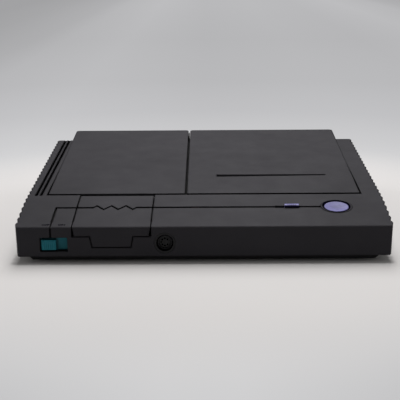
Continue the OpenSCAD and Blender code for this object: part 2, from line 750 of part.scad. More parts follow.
// Long recess in the lid: a ramp in front and a steep wall behind, shallower to the right
module lid_recess() {
    long = 86;
    deep = 1.8;
    above = 2;
    ramp = 2.9;
    wall_v = 46.3;
    tilt = atan(0.9 / long);
    on_panel() translate([lid_x0 + 22.6, 0, 0]) rotate([0, -tilt, 0]) rotate([90, 0, 90]) linear_extrude(long)
        polygon([[wall_v - ramp * (deep + above), above], [wall_v, -deep], [wall_v + 0.6, above]]);
}
module lid_hinge_pins() color(steel) {
    hinge_bar(left_x1 - pin_hold + 1.2, lid_x0 + lid_ear - 0.5, lid_pin_dia / 2);
    hinge_bar(lid_x1 - lid_ear + 0.5, bay_hw + pin_hold - 0.2, lid_pin_dia / 2);
}
module disc_clamp() color(soot) {
    on_spindle() difference() {
        union() {
            translate([0, 0, -4.9]) cylinder(r = 17, h = 2);
            translate([0, 0, -seat_deep + disc_t + clear])
                cylinder(r = 14.2, h = seat_deep - disc_t - clear - 4);
        }
        translate([0, 0, -seat_deep]) cylinder(r = 8, h = 3);
    }
}

module card_door() color(charcoal) {
    difference() {
        union() {
            intersection() {
                along_x(door_x0, door_x1) difference() {
                    housing_section();
                    translate([door_t, -door_t]) housing_section();
                    translate([door_hinge_d, 0]) square(reach);
                }
                along_y(-1, seam_d) door_outline(0);
            }
            door_bar(door_x0, door_x1, door_barrel_r);
        }
        door_bar(door_x0 - 1, door_x1 + 1, door_pin_dia / 2 + run);
        groove_cut() wave_plan();
    }
}
module door_hinge_pin() color(steel)
    door_bar(door_pin_x0, door_pin_x1, door_pin_dia / 2);

module open_button() color(lilac) {
    r = button_dia / 2 - clear;
    rim = r - 1.2;
    dish = [for (i = [0 : 6]) [rim * (1 - i / 6), button_proud - button_dish * (1 - pow(1 - i / 6, 2))]];
    on_facet(button_x, groove_d) {
        rotate_extrude() polygon(concat([[0, -cap_low], [r, -cap_low], [r, button_proud - 0.6],
                                         [r - 0.3, button_proud - 0.2], [r - 0.8, button_proud]], dish));
        translate([0, 0, -stem_end + stem_tip]) cylinder(r = stem_r, h = stem_end - stem_tip - cap_low);
        translate([0, 0, -stem_end]) cylinder(r1 = 0.5, r2 = stem_r, h = stem_tip);
    }
}
module button_bezel() color(soot) {
    on_facet(button_x, groove_d) translate([0, 0, -button_cup_deep]) difference() {
        cylinder(r = button_dia / 2 + bezel_w, h = button_cup_deep + 0.2);
        translate([0, 0, -1]) cylinder(r = button_dia / 2, h = button_cup_deep + 3);
    }
}
// Return spring: one unbroken round wire wound on a helix
module button_spring() color(steel) {
    on_facet(button_x, groove_d) translate([0, 0, -button_cup_deep + spring_wire_r + 0.05])
        spring_wire(5.4, spring_wire_r, 4.5, button_cup_deep - cap_low - 2 * spring_wire_r - 0.1);
}
module spring_wire(radius, wire, turns, height) {
    rings = round(turns * 14);
    sides = 6;
    line = [for (i = [0 : rings]) let (a = 360 * turns * i / rings)
        [radius * cos(a), radius * sin(a), height * i / rings]];
    gaps = [for (i = [0 : rings]) for (k = [i + 7 : 1 : rings]) norm(line[i] - line[k]) - 2 * wire];
    echo(str("least gap of the spring to itself, in mm: ", min(gaps)));
    points = [for (i = [0 : rings]) let (a = 360 * turns * i / rings, z = height * i / rings)
        for (k = [0 : sides - 1]) let (b = 360 * k / sides)
            [(radius + wire * cos(b)) * cos(a), (radius + wire * cos(b)) * sin(a), z + wire * sin(b)]];
    walls = [for (i = [0 : rings - 1]) for (k = [0 : sides - 1])
        let (a = i * sides + k, b = i * sides + (k + 1) % sides)
        each [[a, b + sides, b], [a, a + sides, b + sides]]];
    ends = [[for (k = [0 : sides - 1]) k], [for (k = [sides - 1 : -1 : 0]) rings * sides + k]];
    polyhedron(points, concat(walls, ends));
}
module lid_latch() color(soot) {
    x0 = button_x - latch_hw;
    x1 = button_x + latch_hw;
    z1 = latch_z + latch_t;
    box([x0, fy(latch_d0), latch_z], [x1, fy(arm_d1), z1]);
    box([x0, fy(arm_d0), latch_z], [x1, fy(arm_d1), latch_top]);
    box([x0, fy(arm_d0), latch_top - latch_nose], [x1, fy(nose_d), latch_top]);
    // ramp under the button's stem
    along_x(x0 + 1, x1 - 1)
        polygon([[latch_d0, z1 - 0.1], [ramp_line - z1 + 0.1, z1 - 0.1], [ramp_line - z1 - ramp_h, z1 + ramp_h],
                 [latch_d0 + 1.5, z1 + ramp_h]]);
}
module lock_slider() color(lilac) {
    x0 = lock_x + lock_slot_l / 2 - clear - lock_l;
    on_facet(x0, groove_d) {
        box([0, -lock_w / 2, -1.2], [lock_l, lock_w / 2, lock_proud]);
        box([lock_l / 2 - lock_neck, -lock_stem_w / 2, -wall - clear - 1.5],
            [lock_l / 2 + lock_neck, lock_stem_w / 2, -1.1]);
        box([lock_l / 2 - lock_neck, -lock_w, -wall - clear - 1.6],
            [lock_l / 2 + lock_neck, lock_w, -wall - clear]);
    }
}
module indicator_lens() color(soot) {
    on_facet(lens_x, groove_d) {
        box([-lens_l / 2, -1, -wall - 0.5], [lens_l / 2, 1, -0.25]);
        box([-lens_l / 2 - 1, -2, -wall - 1.4], [lens_l / 2 + 1, 2, -wall]);
    }
}

module power_slider() color(teal) {
    z0 = switch_z0 + 1.2;
    z1 = switch_z0 + switch_h - 1.8;
    knob_x = switch_x0 + knob_side;
    box([knob_x, fy(0.2), z0], [knob_x + knob_l, fy(slide_d + 0.2), z1]);
    box([switch_x0 - switch_travel - 1, fy(slide_d), z0 - 0.8], [slide_x1, fy(slide_d + slide_t), z1 + 0.8]);
    box([knob_x + 3, fy(slide_d + slide_t - 0.1), z0 + 2],
        [knob_x + 6, fy(slide_d + slide_t + stem_len), z1 - 2]);
}
module power_switch() color(soot) {
    front = slide_d + slide_t + clear;
    x0 = switch_x0 + 0.6;
    x1 = switch_x0 + knob_side + 6 + switch_travel + 3;
    difference() {
        union() {
            box([x0, fy(front), flange_top + 0.2], [x1, fy(front + 9), switch_z0 + switch_h - 0.5]);
            box([x0 + 4, fy(front + 4), board_top], [x1, fy(board_d0 + 6), flange_top + 1.4]);
        }
        box([switch_x0 + knob_side + 3 - clear, fy(front - 1), switch_z0 + 3.2 - clear],
            [x1 - 3 + clear, fy(front + stem_len + 0.6), switch_z0 + switch_h - 3.8 + clear]);
    }
}

// Round socket: a ring flush with the wall, a body behind it and an insulator with pin holes
module round_socket(ring, bore, body, deep, pins, pin_ring) {
    difference() {
        union() {
            translate([0, 0, -wall - 0.05]) cylinder(d = ring, h = wall - 0.05);
            translate([-body / 2, -body / 2, -deep]) cube([body, body, deep - wall]);
        }
        translate([0, 0, -8]) cylinder(d = bore, h = 10);
    }
    difference() {
        translate([0, 0, -deep]) cylinder(d = bore - 3.6, h = deep - 3);
        for (i = [0 : pins - 1])
            rotate(45 + i * 270 / (pins - 1)) translate([pin_ring, 0, -6.5]) cylinder(d = 1.2, h = 5);
    }
}
module controller_socket() color(soot)
    on_front(socket_x, socket_z, 0)
        round_socket(socket_dia, socket_bore, 2 * (socket_z - flange_top - 0.1), 15, 7, 2.6);
module controller_shell() color(steel) {
    on_front(socket_x, socket_z, 8) difference() {
        cylinder(d = socket_bore - 2.2, h = 6);
        translate([0, 0, -1]) cylinder(d = socket_bore - 3.2, h = 8);
    }
}
module signal_socket() color(soot) {
    on_rear(signal_x, signal_z, body_d) round_socket(signal_dia, signal_dia - 2.6, 17, 15, 5, 4);
    box([signal_x - 8, fy(body_d - 16.5), board_top], [signal_x + 8, fy(body_d - 15), signal_z + 4]);
}
module power_inlet() color(soot) {
    on_rear(inlet_x, inlet_z, body_d) difference() {
        union() {
            translate([0, 0, -wall - 0.5]) cylinder(d = inlet_dia, h = wall + 0.4);
            translate([-5, -5, -14]) cube([10, 10, 14 - wall - 0.1]);
        }
        translate([0, 0, -10]) cylinder(d = inlet_dia - 2.4, h = 12);
    }
    box([inlet_x - 5, fy(body_d - 17), board_top], [inlet_x + 5, fy(body_d - 14), inlet_z + 4]);
}
module inlet_pin() color(steel) on_rear(inlet_x, inlet_z, body_d - 10) cylinder(d = 2, h = 8);

module card_connector() color(soot) {
    x0 = door_mid - connector_hw;
    x1 = door_mid + connector_hw;
    z1 = slot_z + card_slot_h;
    difference() {
        union() {
            box([x0, fy(connector_d), slot_z - connector_wall], [x1, fy(connector_end), z1 + connector_wall]);
            for (x = [x0, x1 - connector_wall])
                box([x, fy(connector_d), board_top], [x + connector_wall, fy(connector_end), slot_z]);
        }
        box([door_mid - card_w / 2, fy(connector_d - 1), slot_z],
            [door_mid + card_w / 2, fy(connector_end - 3), z1]);
    }
    // apron in front of the slot
    difference() {
        box([door_x0 + lip_taper, fy(apron_d), apron_z - bay_apron_t],
            [door_x1 - lip_taper, fy(connector_d + 0.1), apron_z]);
        box([door_x0, fy(0), 0], [slide_x1 + switch_travel + 1, fy(slide_d + slide_t + 0.6), body_h]);
    }
    box([door_mid - tab_w / 2 - 2, fy(apron_d), tab_low - 2],
        [door_mid + tab_w / 2 + 2, fy(apron_d + bay_apron_t), apron_z - 0.1]);
    box([door_x0 + lip_taper, fy(connector_d - bay_apron_t), apron_z - bay_apron_t],
        [door_x1 - lip_taper, fy(connector_d + 0.1), slot_z - 0.1]);
}
module card_contacts() color("gold") {
    count = 38;
    step = 1.27;
    for (i = [0 : count - 1])
        let (x = door_mid + (i - (count - 1) / 2) * step)
        box([x - 0.25, fy(connector_end - 10), slot_z], [x + 0.25, fy(connector_end - 3), slot_z + 0.5]);
}
module main_board() color(board_green) {
    difference() {
        box([board_x0, fy(board_d0), board_z], [board_x1, fy(board_d1), board_top]);
        for (s = board_holes) translate([s[0], fy(s[1]), board_z - 1]) cylinder(r = 1.6, h = board_t + 2);
    }
}
module board_chips() color(soot) {
    // middle and width as shares of the shield's width, distance behind the connector, length
    for (c = [[0.23, 0.25, 40, 14], [0.68, 0.35, 36, 14], [0.30, 0.32, 74, 18], [0.79, 0.25, 78, 20],
              [1.17, 0.17, 104, 18]])
        translate([shield_x0 + (c[0] - c[1] / 2) * shield_w, fy(connector_end + c[2] - c[3] / 2), board_top])
            cube([c[1] * shield_w, c[3], chip_h]);
}
module board_shield() color(steel) {
    d0 = connector_end + 24;
    d1 = connector_end + 94;
    last = floor((shield_w - shield_pitch - shield_slot - 2) / shield_pitch);
    difference() {
        box([shield_x0, fy(d0), board_top], [shield_x1, fy(d1), board_top + shield_h]);
        box([shield_x0 + shield_t, fy(d0 + shield_t), board_top - 1],
            [shield_x1 - shield_t, fy(d1 - shield_t), board_top + shield_h - shield_t]);
        for (i = [0 : last])
            translate([shield_x0 + (i + 1) * shield_pitch, fy(d0 + 10), board_top])
                cube([shield_slot, d1 - d0 - 20, shield_h + 1]);
    }
}
module board_screws() color(steel) {
    for (s = board_holes) translate([s[0], fy(s[1]), board_top]) {
        cylinder(r = 2.6, h = 1.8);
        translate([0, 0, -board_t - 2.2]) cylinder(r = 0.98, h = board_t + 3);
    }
}

// Dish under the lid, with the turntable opening and the slot of the lens
module disc_well() color(soot) {
    on_spindle() difference() {
        union() {
            translate([0, 0, -well_deep - well_floor_t])
                cylinder(r = well_r + well_wall, h = well_deep + well_floor_t - bay_depth, $fn = 96);
            intersection() {
                translate([0, 0, -bay_depth]) cylinder(r = well_r + 6, h = 0.8, $fn = 96);
                box([-lid_hw() + 3, -well_r - 2.4, -bay_depth], [lid_hw() - 3, well_r + 4, 0]);
            }
        }
        translate([0, 0, -well_deep]) cylinder(r = well_r, h = well_deep + 1, $fn = 96);
        translate([0, 0, -well_deep - 5]) cylinder(d = table_dia + 4, h = 10);
        box([-lens_in - sled_travel - 6, -6, -well_deep - 5], [-table_dia / 2 + 2, 6, -well_deep + 2]);
    }
}
function lid_hw() = (lid_x1 - lid_x0) / 2;

module drive_chassis() color(steel) {
    on_spindle() difference() {
        union() {
            box([-plate_left, -plate_hv, -plate_low], [plate_right, plate_hv, -plate_top]);
            // rod holders
            for (x = [-plate_left + 2, 2]) for (s = [-1, 1])
                box([x, s * rod_span / 2 - 3, -rod_z - 3], [x + 4, s * rod_span / 2 + 3, -plate_low + 0.1]);
            // post of the sled gear
            translate([gear_x, gear_v, -gear_low - gear_t - 0.9]) {
                cylinder(r = shaft_r, h = gear_low + gear_t + 0.9 - plate_top - 0.2);
                cylinder(r = 2 * shaft_r, h = 0.6);
            }
        }
        for (s = damper_spots) translate([s[0], s[1], -plate_low - 1]) cylinder(r = 2.6, h = plate_t + 2);
        // spindle and lens windows
        translate([0, 0, -plate_low - 1]) cylinder(r = 6, h = plate_t + 2);
        box([-lens_in - sled_travel - 7, -7, -plate_low - 1], [-motor_r - 1.6, 7, -plate_top + 1]);
        rod_pair(-plate_left, plate_right, rod_dia + 0.04);
        translate([pinion_x, pinion_v, -plate_low - 1]) cylinder(r = 2, h = plate_t + 2);
    }
}
module drive_dampers() color([0.1, 0.1, 0.1]) {
    on_spindle() for (s = damper_spots) translate([s[0], s[1], 0]) difference() {
        union() {
            translate([0, 0, -plate_low - 1.5]) cylinder(r = 4.5, h = 1.5);
            translate([0, 0, -plate_low - 1]) cylinder(r = 2.55, h = plate_t + 1.4);
            translate([0, 0, -plate_top]) cylinder(r = 4, h = 1.2);
        }
        translate([0, 0, -plate_low - 3]) cylinder(r = 1.65, h = 8);
    }
}
module spindle_motor() color(steel) {
    on_spindle() difference() {
        union() {
            translate([0, 0, -plate_low - motor_h]) cylinder(r = motor_r, h = motor_h);
            translate([0, 0, -plate_low - 0.5]) cylinder(r = 4, h = plate_t);
        }
        translate([0, 0, -plate_low - motor_h + 1]) cylinder(r = shaft_r + run, h = 20);
    }
}
module turntable() color(soot) {
    on_spindle() {
        translate([0, 0, -seat_deep])
            rotate_extrude() polygon([[0, -table_t], [table_dia / 2, -table_t], [table_dia / 2, 0], [hub_r, 0],
                                      [hub_r, 1.4], [hub_r - 1.4, 2.2], [0, 2.2]]);
        translate([0, 0, -seat_deep - table_t - 2.6]) cylinder(r = 4, h = 3);
        translate([0, 0, -shaft_end]) cylinder(r = shaft_r, h = shaft_end - seat_deep - 1);
    }
}
// Both rods that the sled runs on
module rod_pair(x0, x1, dia) {
    for (s = [-1, 1])
        translate([x0, s * rod_span / 2, -rod_z]) rotate([0, 90, 0]) cylinder(d = dia, h = x1 - x0);
}
module guide_rods() color(steel) on_spindle() rod_pair(-plate_left + 2.2, 5.8, rod_dia);

// Straight-sided rack teeth that point to -Y, with a gap in the middle
module rack_teeth_2d(m, count) {
    p = PI * m;
    slope = tan(20);
    add = 0.9 * m;
    ded = 1.2 * m;
    half = p / 4 - tooth_play;
    for (i = [-count : count])
        translate([(i + 0.5) * p, 0])
            polygon([[-half - ded * slope, ded], [half + ded * slope, ded],
                     [half - add * slope, -add], [-half + add * slope, -add]]);
}
// Involute gear outline with a tooth on the +X axis
module gear_2d(m, n) {
    r = m * n / 2;
    rb = r * cos(20);
    ra = r + 0.9 * m;
    rf = r - 1.2 * m;
    half = 90 / n - tooth_play / r * 180 / PI;
    radii = [rf, max(rb, rf + 0.02), (rb + r) / 2, r, (r + ra) / 2, ra];
    angles = [for (q = radii) half + involute(20) - involute(acos(min(1, rb / q)))];
    polygon([for (i = [0 : n - 1])
        each concat([for (k = [0 : 5]) polar(radii[k], 360 * i / n - angles[k])],
                    [for (k = [5 : -1 : 0]) polar(radii[k], 360 * i / n + angles[k])])]);
}
function involute(a) = (tan(a) - a * PI / 180) * 180 / PI;
function polar(r, a) = r * [cos(a), sin(a)];

module pickup_sled() color(soot) {
    rack_len = sled_travel + 16;
    rack_x = gear_x - 7;
    rack_t = 3;
    on_spindle() difference() {
        union() {
            box([-lens_in - sled_hl, -sled_hv, -sled_top - sled_h], [-lens_in + sled_hl, sled_hv, -sled_top]);
            // rack bar and its teeth
            translate([rack_x, rack_v + rack_m, -sled_top - sled_h])
                cube([rack_len, rack_bar - rack_m + 0.1, rack_t]);
            intersection() {
                translate([gear_x, rack_v, -sled_top - sled_h])
                    linear_extrude(rack_t) rack_teeth_2d(rack_m, 24);
                translate([rack_x, rack_v - 5, -body_h]) cube([rack_len, 10, body_h]);
            }
        }
        rod_pair(-lens_in - 20, -lens_in + 20, rod_dia + 2 * run);
        translate([-lens_in, 0, -sled_top - 2]) cylinder(r = 5.05, h = 5);
    }
}
module pickup_lens() color([0.35, 0.45, 0.6]) {
    high = sled_top + 2 - well_deep + 1.2;
    on_spindle() translate([-lens_in, 0, -sled_top - 2])
        rotate_extrude() polygon([[0, 0], [5, 0], [5, high - 2.4], [4, high - 1.6], [4, high], [2.6, high],
                                  [1.6, high + 0.35], [0, high + 0.5]]);
}
module sled_gear() color([0.85, 0.84, 0.8]) {
    on_spindle() translate([gear_x, gear_v, -gear_low - gear_t]) difference() {
        union() {
            linear_extrude(gear_t) rotate(mesh_angle) gear_2d(gear_m, gear_teeth);
            translate([0, 0, gear_t]) linear_extrude(4) rotate(90) gear_2d(rack_m, rack_teeth);
        }
        translate([0, 0, -1]) cylinder(r = shaft_r + run, h = 12);
    }
}
module sled_motor() color(steel) {
    on_spindle() translate([pinion_x, pinion_v, 0]) difference() {
        union() {
            translate([0, 0, -gear_low + 0.8]) cylinder(r = sled_motor_r, h = gear_low - 0.8 - plate_low);
            translate([0, 0, -plate_low - 0.2]) cylinder(r = 1.9, h = plate_t);
        }
        translate([0, 0, -gear_low - 1]) cylinder(r = shaft_r + run, h = 8);
    }
}
module motor_pinion() color("gold") {
    on_spindle() translate([pinion_x, pinion_v, -gear_low - gear_t]) {
        linear_extrude(gear_t) rotate(mesh_angle + 180 + 180 / pinion_teeth) gear_2d(gear_m, pinion_teeth);
        translate([0, 0, gear_t - 0.1]) cylinder(r = shaft_r, h = 6);
    }
}

module rubber_feet() color([0.1, 0.1, 0.1]) {
    for (s = foot_spots) translate([s[0], fy(s[1]), 0]) {
        cylinder(d1 = foot_dia - 1, d2 = foot_dia, h = 0.5);
        translate([0, 0, 0.5]) cylinder(d = foot_dia, h = foot_h + 0.3);
    }
}
module case_screws() color(steel) {
    for (s = boss_spots) translate([s[0], fy(s[1]), base_floor_z + 0.6]) {
        translate([0, 0, -2]) difference() {
            cylinder(r = screw_head_r, h = 2);
            for (a = [0, 90]) rotate(a) box([-1.6, -0.35, -1], [1.6, 0.35, 0.9]);
        }
        translate([0, 0, -0.1]) cylinder(r = screw_r - 0.02, h = 13);
    }
}

upper_shell();
lower_shell();
left_panel();
disc_lid();
lid_hinge_pins();
disc_clamp();
card_door();
door_hinge_pin();
open_button();
button_bezel();
button_spring();
lid_latch();
lock_slider();
indicator_lens();
power_slider();
power_switch();
controller_socket();
controller_shell();
signal_socket();
power_inlet();
inlet_pin();
card_connector();
card_contacts();
main_board();
board_chips();
board_shield();
board_screws();
disc_well();
drive_chassis();
drive_dampers();
spindle_motor();
turntable();
guide_rods();
pickup_sled();
pickup_lens();
sled_gear();
sled_motor();
motor_pinion();
rubber_feet();
case_screws();
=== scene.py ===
"""Looks of a tabletop disc and card game console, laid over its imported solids.

Lengths are metres in the solids' own frame: +X right, +Y to the rear, +Z up, with the origin on
the floor under the middle of the housing.
"""

import json
import math

import bmesh
import bpy
import numpy as np
from bpy.props import FloatProperty, FloatVectorProperty, PointerProperty
from mathutils import Matrix, Vector

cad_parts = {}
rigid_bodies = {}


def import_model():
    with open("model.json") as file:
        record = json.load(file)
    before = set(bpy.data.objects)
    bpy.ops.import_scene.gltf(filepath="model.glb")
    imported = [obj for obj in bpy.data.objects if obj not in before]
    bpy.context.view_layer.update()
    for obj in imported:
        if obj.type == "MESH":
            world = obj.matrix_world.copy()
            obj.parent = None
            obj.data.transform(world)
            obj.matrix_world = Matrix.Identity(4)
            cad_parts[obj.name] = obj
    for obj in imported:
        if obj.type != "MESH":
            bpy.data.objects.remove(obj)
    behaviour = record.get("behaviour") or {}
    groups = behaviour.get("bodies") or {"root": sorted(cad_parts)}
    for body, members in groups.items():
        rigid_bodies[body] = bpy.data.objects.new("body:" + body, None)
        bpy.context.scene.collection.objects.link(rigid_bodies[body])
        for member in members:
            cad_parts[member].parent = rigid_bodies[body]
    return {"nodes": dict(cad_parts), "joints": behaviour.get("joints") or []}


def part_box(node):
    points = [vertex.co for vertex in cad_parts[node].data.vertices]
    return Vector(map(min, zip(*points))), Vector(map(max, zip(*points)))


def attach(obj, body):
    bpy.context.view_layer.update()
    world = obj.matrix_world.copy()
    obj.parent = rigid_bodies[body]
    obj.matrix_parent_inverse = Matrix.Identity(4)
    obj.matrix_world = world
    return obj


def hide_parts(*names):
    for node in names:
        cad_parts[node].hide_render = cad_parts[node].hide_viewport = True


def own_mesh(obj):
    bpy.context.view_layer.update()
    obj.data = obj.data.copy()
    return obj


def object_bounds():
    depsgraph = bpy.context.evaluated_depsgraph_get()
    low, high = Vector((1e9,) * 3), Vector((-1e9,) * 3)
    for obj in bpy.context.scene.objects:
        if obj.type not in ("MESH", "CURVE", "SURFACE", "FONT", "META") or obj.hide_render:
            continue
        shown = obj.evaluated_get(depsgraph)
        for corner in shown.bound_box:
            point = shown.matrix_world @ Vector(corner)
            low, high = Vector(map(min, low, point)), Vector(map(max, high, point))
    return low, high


for spare in list(bpy.data.objects):
    bpy.data.objects.remove(spare, do_unlink=True)

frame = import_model()
CAD_BOX = [list(corner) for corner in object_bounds()]

bl_info = {
    "name": "Disc console looks",
    "version": (1, 0, 0),
    "blender": (4, 5, 0),
    "location": "View3D > Sidebar > Console",
    "description": "Finishes, small parts and studio of a disc and card game console",
    "category": "Object",
}

MM = 0.001
IMAGE_PX = 400
SENSOR = 36.0
FRONT_Y = CAD_BOX[0][1]

# Patterns, in cells per metre
CLOUDS = 22.0
PATCHES = 70.0
# Cells of the pale rims, which are edge wear and painted highlight
RIM_CELLS = 90.0
KEY_CELLS = 330.0
DRAWN_LINES = 900.0
INK_CELLS = 2600.0

# Rims: their share of the colour, and the cosines between rounded and flat normals where they are full and end
RIM_SHARE = 0.9
RIM_FULL, RIM_END = 0.72, 0.98
RIM_REACH = 0.004

# Painted shade in grooves and gaps: the openness where it is full and ends, and the least share of colour left
# on the front and on top
SHADE_FULL, SHADE_END = 0.62, 0.96
SHADE_STEP = 0.001
FRONT_SHADE = 0.35
TOP_SHADE = 0.01
RECESS_Y = -0.0152
RECESS_HALF = 0.0045

# Sloping front: the range of Y over which it gives way to the top panels, its lift of painted light, and the
# painted shade of its dimmer ends
SLOPE_START, SLOPE_END = -0.06, 0.02
SLOPE_LIFT = 1.035
ENDS_DIM = 0.16
ENDS_START, ENDS_FULL = 0.068, 0.104

# Button: radii of its middle and rim, the shift of its mottling, and its shares of tone at front and rear,
# which paint a highlight on the rim and towards the front
KEY_MIDDLE, KEY_RIM = 0.004, 0.010
KEY_MOTTLE = 0.0016
KEY_FRONT, KEY_REAR = 1.16, 0.86

# Floor: glowing colours by distance as a share of the reach, and strengths by distance from the bright line,
# which paint the fall of light over the far floor
FLOOR_REACH = 5.0
FLOOR_TONES = [(0.06, (0.690, 0.688, 0.696)), (0.08, (0.630, 0.630, 0.642)), (0.12, (0.560, 0.560, 0.575)),
               (0.19, (0.515, 0.515, 0.528)), (0.37, (0.495, 0.495, 0.507)), (0.76, (0.515, 0.515, 0.527))]
FALL_REACH = 1.2
FALL_STOPS = ((0.0, 0.955), (0.167, 0.935), (0.34, 0.985), (0.475, 0.925), (0.54, 0.845), (0.71, 0.75),
              (0.875, 0.70))
FLOOR_FALL = [(at, (grey,) * 3) for at, grey in FALL_STOPS]
# Painted shade that dims the far floor towards its front corners
CORNER_DIM = 0.13
CORNER_START, CORNER_FULL = 0.02, 0.12
CORNER_FRONT, CORNER_REAR = -0.34, -0.16
WALL_POWER = 4.0

# Print: a capital's height as a share of the type size, and the words with their shares of the slider's width
CAP_HEIGHT = 0.73
PRINT_THICK = 0.02 * MM
PRINT_BOLD = 0.16 * MM
WORDS = (("OFF", 0.46), ("ON", 0.86))

# Places and sizes on the solids, in millimetres
KNOB_MIDDLE = 15.1
KNOB_EDGE = 1.6
KNOB_RIDGES, KNOB_RIDGE_WIDE = 6, 0.42
LOCK_RIDGES, LOCK_RIDGE_WIDE = 5, 0.40
LOCK_RIDGE = 2.3
LOCK_BACK = 33.3
LOCK_PROUD = 1.6
SPRING_R = 5.4
SPRING_WIRE = 0.4
SPRING_TURNS = 4.5
SPRING_HIGH = 5.7
SPRING_FOOT = -4.45
SUNK = -0.05
CATCH_R = 0.6
CATCH_AWAY, CATCH_HIGH = 7.1, 0.75
WELL_FLOOR = -3.5
WELL_FLANGE = 3.8
SCREW_AWAY = 64.6
WELL_RINGS = ((30.0, 17.0), (48.0, 12.0))
LEG_PITCH = 1.27

# Chips: middle and width as shares of the shield's width, distance behind the connector and length
CHIPS = ((0.23, 0.25, 40, 14), (0.68, 0.35, 36, 14), (0.30, 0.32, 74, 18), (0.79, 0.25, 78, 20),
         (1.17, 0.17, 104, 18))


# Property helpers
def colour(label, text, rgb):
    """A colour property with its words and default, as linear red, green and blue."""
    return FloatVectorProperty(name=label, description=text, default=rgb, subtype="COLOR", min=0, max=1)


def length(label, text, value):
    """A length property in metres."""
    return FloatProperty(name=label, description=text, default=value, unit="LENGTH", precision=5)


def point(label, text, value):
    """A place property in metres."""
    return FloatVectorProperty(name=label, description=text, default=value, subtype="TRANSLATION",
                               unit="LENGTH", precision=5)


def sides(label, text, value):
    """A width and depth property in metres."""
    return FloatVectorProperty(name=label, description=text, default=value, size=2, unit="LENGTH")


def angle(label, text, degrees):
    """An angle property."""
    return FloatProperty(name=label, description=text, default=math.radians(degrees), subtype="ANGLE")


def watts(label, text, value):
    """A property for the power of a lamp."""
    return FloatProperty(name=label, description=text, default=value, unit="POWER")


def fraction(label, text, value):
    """A property between nothing and one."""
    return FloatProperty(name=label, description=text, default=value, subtype="FACTOR", min=0, max=1)


def plain(label, text, value):
    """A property that is a plain number."""
    return FloatProperty(name=label, description=text, default=value)


class ConsoleFinish(bpy.types.PropertyGroup):
    """Colours of the materials."""

    charcoal: colour("Charcoal", "Plastic of the upper shell, panels and door", (0.0430, 0.0412, 0.0462))
    base: colour("Base", "Darker plastic of the lower shell", (0.012, 0.012, 0.013))
    black: colour("Black", "Plastic of sockets, switch and well", (0.014, 0.014, 0.015))
    # Painted shade: the near-black ring stands in for the shaded gap round the button
    bezel: colour("Bezel", "Dark blue ring round the button", (0.0016, 0.0016, 0.0050))
    lilac: colour("Lilac", "Open button and lid lock", (0.121, 0.1155, 0.268))
    # Painted shade: the deep blue is the lilac of the lock's front in shade
    lock: colour("Lock front", "Deep blue of the front of the lid lock", (0.034, 0.029, 0.122))
    teal: colour("Teal", "Power slider", (0.012, 0.190, 0.240))
    lens: colour("Indicator", "Smoked indicator lens", (0.009, 0.005, 0.006))
    steel: colour("Steel", "Pins, rods, screws and motor cans", (0.56, 0.56, 0.58))
    tarnish: colour("Tarnish", "Dull dark shell of the controller socket", (0.030, 0.030, 0.032))
    sheet: colour("Sheet metal", "Drive chassis and board shield", (0.46, 0.47, 0.48))
    contact: colour("Contacts", "Gold-plated contacts and brass pinion", (0.78, 0.54, 0.20))
    board: colour("Board", "Lacquer of the main board", (0.012, 0.085, 0.032))
    nylon: colour("Nylon", "Natural gear plastic", (0.66, 0.63, 0.55))
    glass: colour("Pickup lens", "Coated lens of the pickup", (0.10, 0.16, 0.34))
    rubber: colour("Rubber", "Feet and dampers", (0.018, 0.018, 0.018))
    print: colour("Print", "Dark printed marks of the power switch", (0.003, 0.003, 0.006))
    floor: colour("Floor", "Pale studio floor near the object", (0.672, 0.652, 0.642))


class ConsoleDetail(bpy.types.PropertyGroup):
    """Sizes of the finish and of the small parts."""

    grain: length("Grain", "Size of the fine moulding grain", 0.00045)
    edge: length("Edge", "Radius that the moulded edges catch the light with", 0.0004)
    # Painted shade: the radius of the dark rims along the grooves and gaps of the charcoal mouldings
    painted_shade_edge: length("Grimy edge", "Radius of the grime along the rims of the charcoal mouldings", 0.0016)
    # Painted shade: the reach within which ambient occlusion darkens grooves and gaps
    painted_shade: length("Grime", "Reach of the grime that darkens grooves and gaps", 0.0024)
    front_edge: length("Front edge", "Height of the front edge above the floor", 0.026)
    letter: length("Letter height", "Height of the ON and OFF marks", 0.0023)
    letter_back: length("Letter place", "Distance of the marks behind the front edge", 0.0030)
    ridge: length("Ridge", "Height of the finger ridges on the sliders", 0.00015)
    ridge_pitch: length("Ridge pitch", "Distance between the finger ridges", 0.0014)
    mat: length("Turntable mat", "Thickness of the rubber ring on the turntable", 0.0003)
    ring: length("Well rings", "Height of the raised rings in the disc well", 0.0003)


